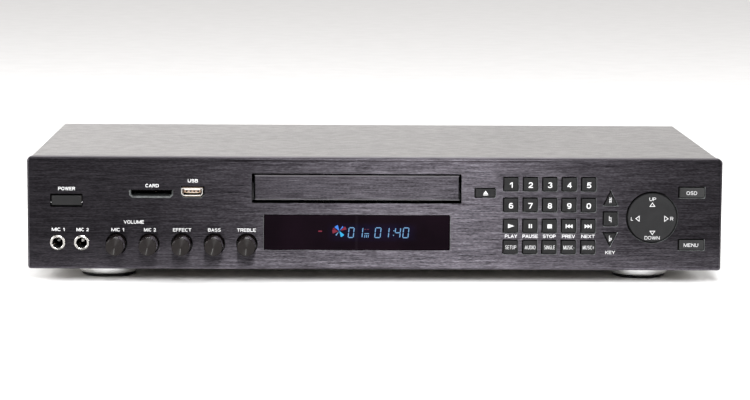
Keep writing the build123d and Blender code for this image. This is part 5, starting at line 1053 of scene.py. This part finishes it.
# ------------------------------------------------------------------ microphone jacks
def jacks():
    metal, body = Piece("jack_rings"), Piece("jack_bodies")
    for jx in (-196.3, -181.5):
        at = (jx, 0.0, 16.4)
        metal.lathe([(4.04, 0.06), (4.55, 0.06), (4.75, 0.24), (4.75, 0.62), (4.68, 0.84), (4.5, 1.02), (4.25, 1.13), (3.95, 1.18),
                     (3.65, 1.13), (3.42, 1.0), (3.26, 0.8), (3.2, 0.5), (3.2, -3.4), (3.96, -3.4), (3.96, 0.0)], at, "front", "jack_chrome", 64, closed=True)
        # two spanner slots, as dark notches across the ring's rim
        for s in (-1, 1):
            body.block(jx + s * 4.76 - 0.16, jx + s * 4.76 + 0.0, -0.98, -0.1, 15.95, 16.85, "jack_black", r=0.05)
        body.lathe([(3.2, -3.45), (3.22, -27.6), (0.0, -27.6), (0.0, -29.3), (6.3, -29.3), (6.3, -3.7), (3.98, -3.7), (3.98, -3.45)],
                   at, "front", "jack_black", 48, closed=False)
        for sx in (-1, 1):
            for sz in (-1, 1):
                body.block(jx + sx * 5.3 - 1.2, jx + sx * 5.3 + 1.2, 3.65, 29.3, 16.4 + sz * 5.3 - 1.2, 16.4 + sz * 5.3 + 1.2, "jack_black", r=0.3)
        # sprung contacts in the bore and solder tails behind; the leaf at the mouth is a contact leaf painted pale to
        # stand in for a glint, a painted highlight, and the left jack's leaf has a darker copy of its material as
        # painted shade
        metal.block(jx + 0.7, jx + 2.5, 4.2, 10.5, 18.3, 18.62, "jack_chrome", r=0.08, turn=(12, "X"))
        metal.prism([(jx - 0.5, 16.75), (jx + 0.9, 16.75), (jx + 1.35, 17.3), (jx + 1.35, 18.3), (jx + 0.5, 18.75), (jx - 0.4, 18.3)],
                    3.6, 4.0, "jack_leaf" if jx > -190 else "jack_leaf_shaded", r=0.12)
        metal.block(jx - 2.6, jx - 1.4, 9.0, 16.0, 14.1, 14.4, "socket_shell", r=0.08, turn=(-8, "X"))
        for k in (-3.2, 0.0, 3.2):
            metal.block(jx + k - 0.7, jx + k + 0.7, 29.0, 29.45, 12.2, 15.4, "jack_chrome", r=0.08)
    metal.set_down("chassis", "jack_chrome", replaces=("microphone_jacks",), sharp=40)
    body.set_down("chassis", "socket_plastic", replaces=("microphone_jacks",))


# ------------------------------------------------------------------ card and USB sockets
USB_C = (-113.1, 48.1)


def usb_loop(k, top=2.95, low=2.95, flare=(0.0, 0.0)):
    """The shell's outline, k inside its outer face, opened out at its ends by the flare."""
    top, low, cut = top - k, low - k, 1.3 - 0.45 * k
    cx, cz = USB_C
    x0, x1 = cx - 6.1 + k - flare[0], cx + 6.1 - k + flare[1]
    return [(x0, cz + top), (x0, cz - low + cut), (x0 + cut, cz - low), (x1 - cut, cz - low), (x1, cz - low + cut), (x1, cz + top)]


def media():
    p = Piece("usb_socket")
    # folded shell, closed at the rear, with a flared mouth
    p.plate([usb_loop(0.0), usb_loop(0.42)], 1.7, 13.9, "socket_shell")
    p.plate([usb_loop(0.02)], 13.0, 13.9, "socket_shell")
    mouth = (0.72, 0.25)
    p.plate([usb_loop(0.0, 2.42, 2.38, mouth), usb_loop(0.45, 2.42, 2.38, mouth)], -0.06, 1.8, "usb_wall")
    cx, cz = USB_C
    p.block(cx - 4.95, cx + 4.95, -0.1, 0.45, cz + 1.27, cz + 2.42, "usb_lip", r=0.2)
    p.block(cx - 4.75, cx + 4.75, -0.1, 0.45, cz - 2.36, cz - 1.80, "usb_lip", r=0.15)
    for s in (-1, 1):
        p.block(cx + s * 2.9 - 0.9, cx + s * 2.9 + 0.9, 1.9, 7.5, cz - 2.58, cz - 2.42, "socket_shell", r=0.05)
    # tongue with its four contacts
    p.block(cx - 5.0, cx + 5.0, 0.5, 13.2, cz - 0.42, cz + 1.5, "usb_tongue", r=0.18)
    p.block(cx - 3.3, cx + 3.2, 0.42, 0.6, cz - 0.42, cz - 0.02, "usb_tongue_tip", r=0.08)
    for k in (-3.5, -1.1, 1.1, 3.5):
        p.block(cx + k - 0.5, cx + k + 0.5, 0.62, 9.0, cz - 0.56, cz - 0.38, "contact_gold", r=0.05)
        p.block(cx + k - 0.52, cx + k + 0.52, 0.4, 0.56, cz + 0.02, cz + 1.02, "card_lip", r=0.05)
    p.set_down("chassis", "socket_shell", replaces=("media_sockets",), sharp=25)

    q = Piece("card_socket")
    x0, x1 = -153.0, -124.0
    q.block(x0, x1, 3.65, 5.4, 48.8, 50.05, "card_base", r=0.15)
    q.block(x0, x1, 5.2, 31.5, 48.8, 50.05, "card_cover", r=0.15)
    q.block(x0, x1, 3.65, 31.5, 43.75, 46.2, "card_base", r=0.15)
    q.block(x0, -150.85, 3.7, 31.4, 46.1, 48.9, "card_base", r=0.1)
    q.block(-126.15, x1, 3.7, 31.4, 46.1, 48.9, "card_base", r=0.1)
    q.block(x0, x1, 27.6, 31.4, 46.1, 48.9, "card_base", r=0.1)
    for i in range(9):
        x = -147.6 + 2.3 * i
        q.block(x - 0.35, x + 0.35, 15.0, 27.0, 46.18, 46.4, "socket_shell", r=0.05)
    # guide lip in the mouth of the slot
    q.prism([(-149.3, 45.95), (-127.7, 45.95), (-127.2, 46.3), (-127.5, 46.62), (-149.5, 46.62), (-149.8, 46.3)], 1.7, 3.62, "card_lip", r=0.12)
    q.set_down("chassis", "socket_plastic", replaces=("media_sockets",))

    b = Piece("media_board")
    b.block(-158.5, -96.5, 10.05, 45.9, 41.6, 43.2, "circuit_board", r=0.1)
    for x, y, w, d, h in ((-150, 38, 8, 5, 1.2), (-136, 38, 10, 6, 1.4), (-118, 36, 9, 9, 1.5), (-104, 38, 5, 6, 3.5), (-104, 24, 4, 9, 1.6)):
        b.block(x - w / 2, x + w / 2, y - d / 2, y + d / 2, 43.15, 43.2 + h, "chip_black", r=0.15)
    b.set_down("chassis", "circuit_board", replaces=("media_sockets",))


# ------------------------------------------------------------------ feet
FEET = ((-168.0, 36.0), (168.0, 36.0), (-168.0, 184.0), (168.0, 184.0))


def feet():
    rings, pads, bolts = Piece("foot_rings"), Piece("foot_pads"), Piece("foot_screws")
    for fx, fy in FEET:
        at = (fx, fy, 0.0)
        rings.lathe([(2.4, 0.8), (17.6, 0.8), (18.1, 0.68), (18.4, 0.35), (18.5, -0.1), (18.5, -0.85), (18.32, -1.0), (18.25, -1.2),
                     (18.32, -1.4), (18.5, -1.55), (18.5, -4.7), (18.4, -5.25), (18.1, -5.7), (17.6, -5.94), (17.1, -6.0), (16.92, -5.85),
                     (16.9, -3.0), (2.4, -3.0)], at, "up", "foot_metal", 96, closed=True)
        pads.lathe([(4.5, -3.05), (16.8, -3.05), (16.8, -6.7), (16.65, -7.3), (16.3, -7.8), (15.7, -8.0), (14.9, -8.0), (14.6, -7.6), (13.8, -7.6),
                    (13.5, -8.0), (11.2, -8.0), (10.9, -7.6), (10.1, -7.6), (9.8, -8.0), (5.2, -8.0), (4.7, -7.8), (4.5, -7.4)], at, "up", "pad_rubber", 80, closed=True)
        cross_screw(bolts, at[:2] + (-3.0,), "down", 3.6, 1.9, 1.9, 3.7, "screw_steel")
    rings.set_down("chassis", "foot_metal", replaces=("feet",), sharp=28)
    pads.set_down("chassis", "pad_rubber", replaces=("feet",), sharp=28)
    bolts.set_down("chassis", "motor_steel", sharp=30)


# ------------------------------------------------------------------ screws
TURN = {
    "front": lambda u, v, h: (u, -h, v),
    "rear": lambda u, v, h: (-u, h, v),
    "up": lambda u, v, h: (u, v, h),
    "down": lambda u, v, h: (u, -v, -h),
    "right": lambda u, v, h: (h, u, v),
    "left": lambda u, v, h: (-h, -u, v),
}


def stamp(p, loops, at, way, h0, h1, mat):
    """Flat shape with holes standing from h0 to h1 along a direction."""
    data = bpy.data.curves.new("scratch", "CURVE")
    data.dimensions = "2D"
    data.fill_mode = "BOTH"
    for loop in loops:
        sp = data.splines.new("POLY")
        sp.points.add(len(loop) - 1)
        for q, (x, z) in zip(sp.points, loop):
            q.co = (x, z, 0.0, 1.0)
        sp.use_cyclic_u = True
    data.extrude = 0.5
    place = TURN[way]
    p.curve(data, lambda c: tuple(a + b for a, b in zip(at, place(c.x, c.y, h0 + (c.z + 0.5) * (h1 - h0)))), mat)


def cross(size, arm, turn=0.0):
    pts = [(arm, arm), (arm, size), (-arm, size), (-arm, arm), (-size, arm), (-size, -arm), (-arm, -arm), (-arm, -size), (arm, -size), (arm, -arm), (size, -arm), (size, arm)]
    c, s = math.cos(turn), math.sin(turn)
    return [(x * c - z * s, x * s + z * c) for x, z in pts]


def cross_screw(p, at, way, head, height, shank, length, mat, turn=0.4):
    """Pan-head screw with a cross recess; at is under the head, and the head stands out along way."""
    lathe_way = "up" if way == "down" else way
    flip = -1.0 if way == "down" else 1.0
    inner = head * 0.56
    rim = height * 0.98
    profile = [(0.0, 0.0), (head * 0.97, 0.0), (head, height * 0.08), (head, height * 0.42), (head * 0.96, height * 0.66), (head * 0.84, height * 0.86),
               (inner, rim), (inner, height * 0.38), (0.0, height * 0.38)]
    p.lathe([(r, flip * h) for r, h in profile], at, lathe_way, mat, 40)
    stamp(p, [circle(0, 0, inner, 40), cross(inner * 0.86, inner * 0.2, turn)], at, way, height * 0.38, rim, mat)
    p.lathe([(0.0, flip * 0.02), (shank, flip * 0.02), (shank, -flip * (length - shank * 0.7)), (shank * 0.4, -flip * length), (0.0, -flip * length)], at, lathe_way, mat, 24)


def screws():
    p = Piece("case_screws")
    for i, x in enumerate((-120.0, 0.0, 120.0)):
        cross_screw(p, (x, 221.15, 63.0), "rear", 3.0, 1.9, 1.5, 7.0, "screw_black", 0.3 + i)
    for s in (-1, 1):
        for i, y in enumerate((45.0, 185.0)):
            cross_screw(p, (s * 214.53, y, 8.0), "right" if s > 0 else "left", 3.0, 0.45, 1.25, 6.0, "screw_black", 0.9 * i + 0.2)
    for i, x in enumerate((-190.0, -50.0, 60.0, 190.0)):
        cross_screw(p, (x, 9.05, 6.0), "rear", 2.7, 1.8, 1.25, 5.5, "screw_steel", 0.5 * i)
    tray_c = -11.65
    for i, (x, y) in enumerate(((tray_c - 66, 26.0), (tray_c + 66, 26.0), (tray_c - 66, 178.0), (tray_c + 66, 178.0))):
        cross_screw(p, (x, y, 14.55), "up", 2.7, 1.8, 1.25, 8.0, "screw_steel", 0.6 * i)
    for i, (x, y) in enumerate(((82, 66), (200, 66), (82, 198), (200, 198), (-200, 96), (-112, 96), (-200, 198), (-112, 198))):
        cross_screw(p, (x, y, 9.65), "up", 2.6, 1.6, 1.15, 6.0, "screw_steel", 0.45 * i)
    p.set_down("chassis", "screw_black", replaces=("screws",), sharp=30)


# ------------------------------------------------------------------ rear sockets
def rear_panel():
    p = Piece("phono_sockets")
    colors = {(0, 1): "phono_yellow", (1, 1): "phono_green", (2, 1): "phono_blue", (3, 1): "phono_red",
              (0, 0): "phono_white", (1, 0): "phono_red", (2, 0): "phono_white", (3, 0): "phono_red"}
    p.block(110.5, 170.5, 207.0, 218.95, 15.0, 45.0, "socket_black", r=0.5)
    for (i, j), col in colors.items():
        at = (118.0 + 15.0 * i, 220.0, 22.0 + 16.0 * j)
        p.lathe([(0.0, -1.0), (4.14, -1.0), (4.14, 1.3), (4.0, 1.5), (3.85, 1.5), (3.3, 1.4), (3.3, 0.2), (0.0, 0.2)], at, "rear", col, 48)
        p.lathe([(3.32, 0.3), (3.86, 0.3), (3.86, 7.9), (3.72, 8.35), (3.5, 8.5), (3.3, 8.35), (3.2, 8.0), (3.2, 0.3)], at, "rear", "phono_metal", 48, closed=True)
        p.lathe([(0.0, 0.3), (3.18, 0.3), (3.18, 7.4), (2.95, 7.6), (1.85, 7.6), (1.7, 7.4), (1.7, 0.9), (0.0, 0.9)], at, "rear", col, 48)
    p.set_down("chassis", "socket_plastic", replaces=("rear_sockets",), sharp=30)

    q = Piece("mains_inlet")
    cx, cz = -172.0, 24.0

    def eight(w, h):
        """Figure-eight outline of the plug's mouth."""
        r = h / 2
        d = w / 2 - r
        pts = []
        for s, base in ((1, 0), (-1, 180)):
            for k in range(17):
                a = math.radians(base - 68 + 136 * k / 16)
                pts.append((cx + s * d + r * math.cos(a), cz + r * math.sin(a)))
            x_in = cx + s * d - s * r * 0.2
            pts.append((x_in - s * 1.2, cz + s * (r - 0.9)))
        return pts

    mouth = eight(16.6, 8.2)
    q.plate([rounded(cx, cz, 26.0, 17.0, 5.0, 8), mouth], 220.06, 221.85, "socket_black")
    q.plate([rounded(cx, cz, 25.5, 16.5, 4.8, 8), eight(16.9, 8.5)], 221.84, 222.05, "socket_black")
    q.plate([rounded(cx, cz, 20.4, 12.4, 3.7, 6), mouth], 206.5, 220.07, "socket_black")
    q.plate([rounded(cx, cz, 20.4, 12.4, 3.7, 6)], 201.0, 206.6, "socket_black")
    for s in (-1, 1):
        q.lathe([(0.0, -14.0), (1.2, -14.0), (1.2, -2.4), (0.9, -1.8), (0.0, -1.5)], (cx + s * 4.3, 220.0, cz), "rear", "jack_chrome", 24)
        q.block(cx + s * 4.3 - 1.2, cx + s * 4.3 + 1.2, 196.2, 201.2, cz - 0.4, cz + 0.4, "jack_chrome", r=0.1)
    q.set_down("chassis", "socket_plastic", replaces=("rear_sockets",), sharp=30)

    # dust gauze behind the vents: a frame and a fine weave
    g = Piece("vent_gauze")
    g.plate([rounded(-60.0, 36.0, 94.0, 36.0, 1.5, 4), rounded(-60.0, 36.0, 90.0, 32.0, 0.8, 4)], 217.9, 218.9, "abs_black")
    g.block(-105.5, -14.5, 218.1, 218.4, 19.5, 52.5, "gauze_black", r=0.05)
    for i in range(1, 31):
        g.block(-105.5 + 2.935 * i - 0.12, -105.5 + 2.935 * i + 0.12, 218.35, 218.6, 20.0, 52.0, "gauze_black", r=0.04)
    for i in range(1, 12):
        g.block(-105.0, -15.0, 218.45, 218.7, 20.0 + 2.67 * i - 0.12, 20.0 + 2.67 * i + 0.12, "gauze_black", r=0.04)
    g.set_down("chassis", sharp=30)

    t = Piece("rear_legends")
    y = 220.0
    for text, x, z, w in (("VIDEO OUT", 118.0, 45.2, 13.0), ("AUDIO OUT", 155.5, 30.0, 13.5), ("L", 133.0 + 15.0, 15.6, 1.1), ("R", 163.0, 15.6, 1.3),
                          ("L", 118.0, 15.6, 1.1), ("R", 133.0, 15.6, 1.3), ("AC IN", cx, 35.2, 8.5)):
        t.words(text, x, z, w, 1.9, y, facing="rear", t=0.3, gap=0.22)
    t.set_down("chassis", "print_white")


# ------------------------------------------------------------------ power button trim
def power_trim():
    p = Piece("power_button_pins")
    for s in (-1, 1):
        at = (-190.7 + s * 9.42, 0.9, 41.45)
        p.lathe([(0.0, -2.0), (0.34, -2.0), (0.34, 0.55), (0.26, 0.72), (0.0, 0.78)], at, "front", "screw_steel", 20)
    p.set_down("chassis", "motor_steel")


panel_legends()
keypad_legends()
other_legends()
display()
knobs()
jacks()
media()
feet()
screws()
rear_panel()
power_trim()


# ------------------------------------------------------------------ stage
def floor_material():
    s = Shade("stage_floor")
    n = s.noise(s.place((30.0, 30.0, 30.0)), 1.0, 2.0, 0.5)
    return s.shader(color=two((0.61, 0.61, 0.61), (0.63, 0.63, 0.63), n, s), rough=0.9, level=0.0)


def add_floor():
    mesh = bpy.data.meshes.new("stage_floor")
    r, n = 14.0, 96
    verts = [(r * math.cos(2 * math.pi * i / n), 1.5 + r * math.sin(2 * math.pi * i / n), 0.0) for i in range(n)]
    mesh.from_pydata(verts, [], [list(range(n))])
    floor = bpy.data.objects.new("stage_floor", mesh)
    SCENE.collection.objects.link(floor)
    mesh.materials.append(floor_material())


def add_area(name, where, target, size, size_y, power, color=(1, 1, 1), spread=math.pi):
    data = bpy.data.lights.new(name, "AREA")
    data.shape = "RECTANGLE"
    data.size, data.size_y = size, size_y
    data.energy = power
    data.color = color
    data.spread = spread
    obj = bpy.data.objects.new(name, data)
    SCENE.collection.objects.link(obj)
    obj.location = where
    obj.rotation_euler = (Vector(target) - Vector(where)).to_track_quat("-Z", "Y").to_euler()
    return obj


def add_world():
    world = bpy.data.worlds.new("world")
    SCENE.world = world
    world.use_nodes = True
    t = world.node_tree
    t.nodes.clear()
    out = t.nodes.new("ShaderNodeOutputWorld")
    bg = t.nodes.new("ShaderNodeBackground")
    coord = t.nodes.new("ShaderNodeTexCoord")
    sep = t.nodes.new("ShaderNodeSeparateXYZ")
    t.links.new(coord.outputs["Generated"], sep.inputs[0])
    rng = t.nodes.new("ShaderNodeMapRange")
    rng.interpolation_type = "SMOOTHSTEP"
    rng.inputs["From Min"].default_value = -0.75
    rng.inputs["From Max"].default_value = 0.35
    rng.inputs["To Min"].default_value = 0.06
    rng.inputs["To Max"].default_value = 1.55
    t.links.new(sep.outputs["Y"], rng.inputs["Value"])
    bg.inputs["Color"].default_value = (1.0, 0.978, 0.965, 1.0)
    lean = t.nodes.new("ShaderNodeMath")
    lean.operation = "MULTIPLY_ADD"
    lean.inputs[1].default_value = -0.8
    lean.inputs[2].default_value = 1.0
    t.links.new(sep.outputs["X"], lean.inputs[0])
    wings = t.nodes.new("ShaderNodeMath")
    wings.operation = "MULTIPLY"
    t.links.new(sep.outputs["X"], wings.inputs[0])
    t.links.new(sep.outputs["X"], wings.inputs[1])
    sides = t.nodes.new("ShaderNodeMath")
    sides.operation = "MULTIPLY_ADD"
    sides.inputs[1].default_value = 0.3
    t.links.new(wings.outputs[0], sides.inputs[0])
    t.links.new(lean.outputs[0], sides.inputs[2])
    level = t.nodes.new("ShaderNodeMath")
    level.operation = "MULTIPLY"
    t.links.new(rng.outputs["Result"], level.inputs[0])
    t.links.new(sides.outputs[0], level.inputs[1])
    t.links.new(level.outputs[0], bg.inputs["Strength"])
    t.links.new(bg.outputs[0], out.inputs[0])


add_floor()
add_world()
add_area("light_top", (-0.45, -0.4, 2.6), (-0.1, -0.1, 0.0), 2.6, 2.0, 22.0)
add_area("light_left", (-1.6, -0.5, 0.85), (-0.2, -0.1, 0.0), 0.9, 0.7, 34.0)
add_area("light_right", (1.6, -0.5, 0.85), (0.2, -0.1, 0.0), 0.9, 0.7, 26.0)
add_area("light_front", (0.12, -2.2, 1.35), (0.02, -0.1, 0.04), 0.3, 1.1, 98.0)
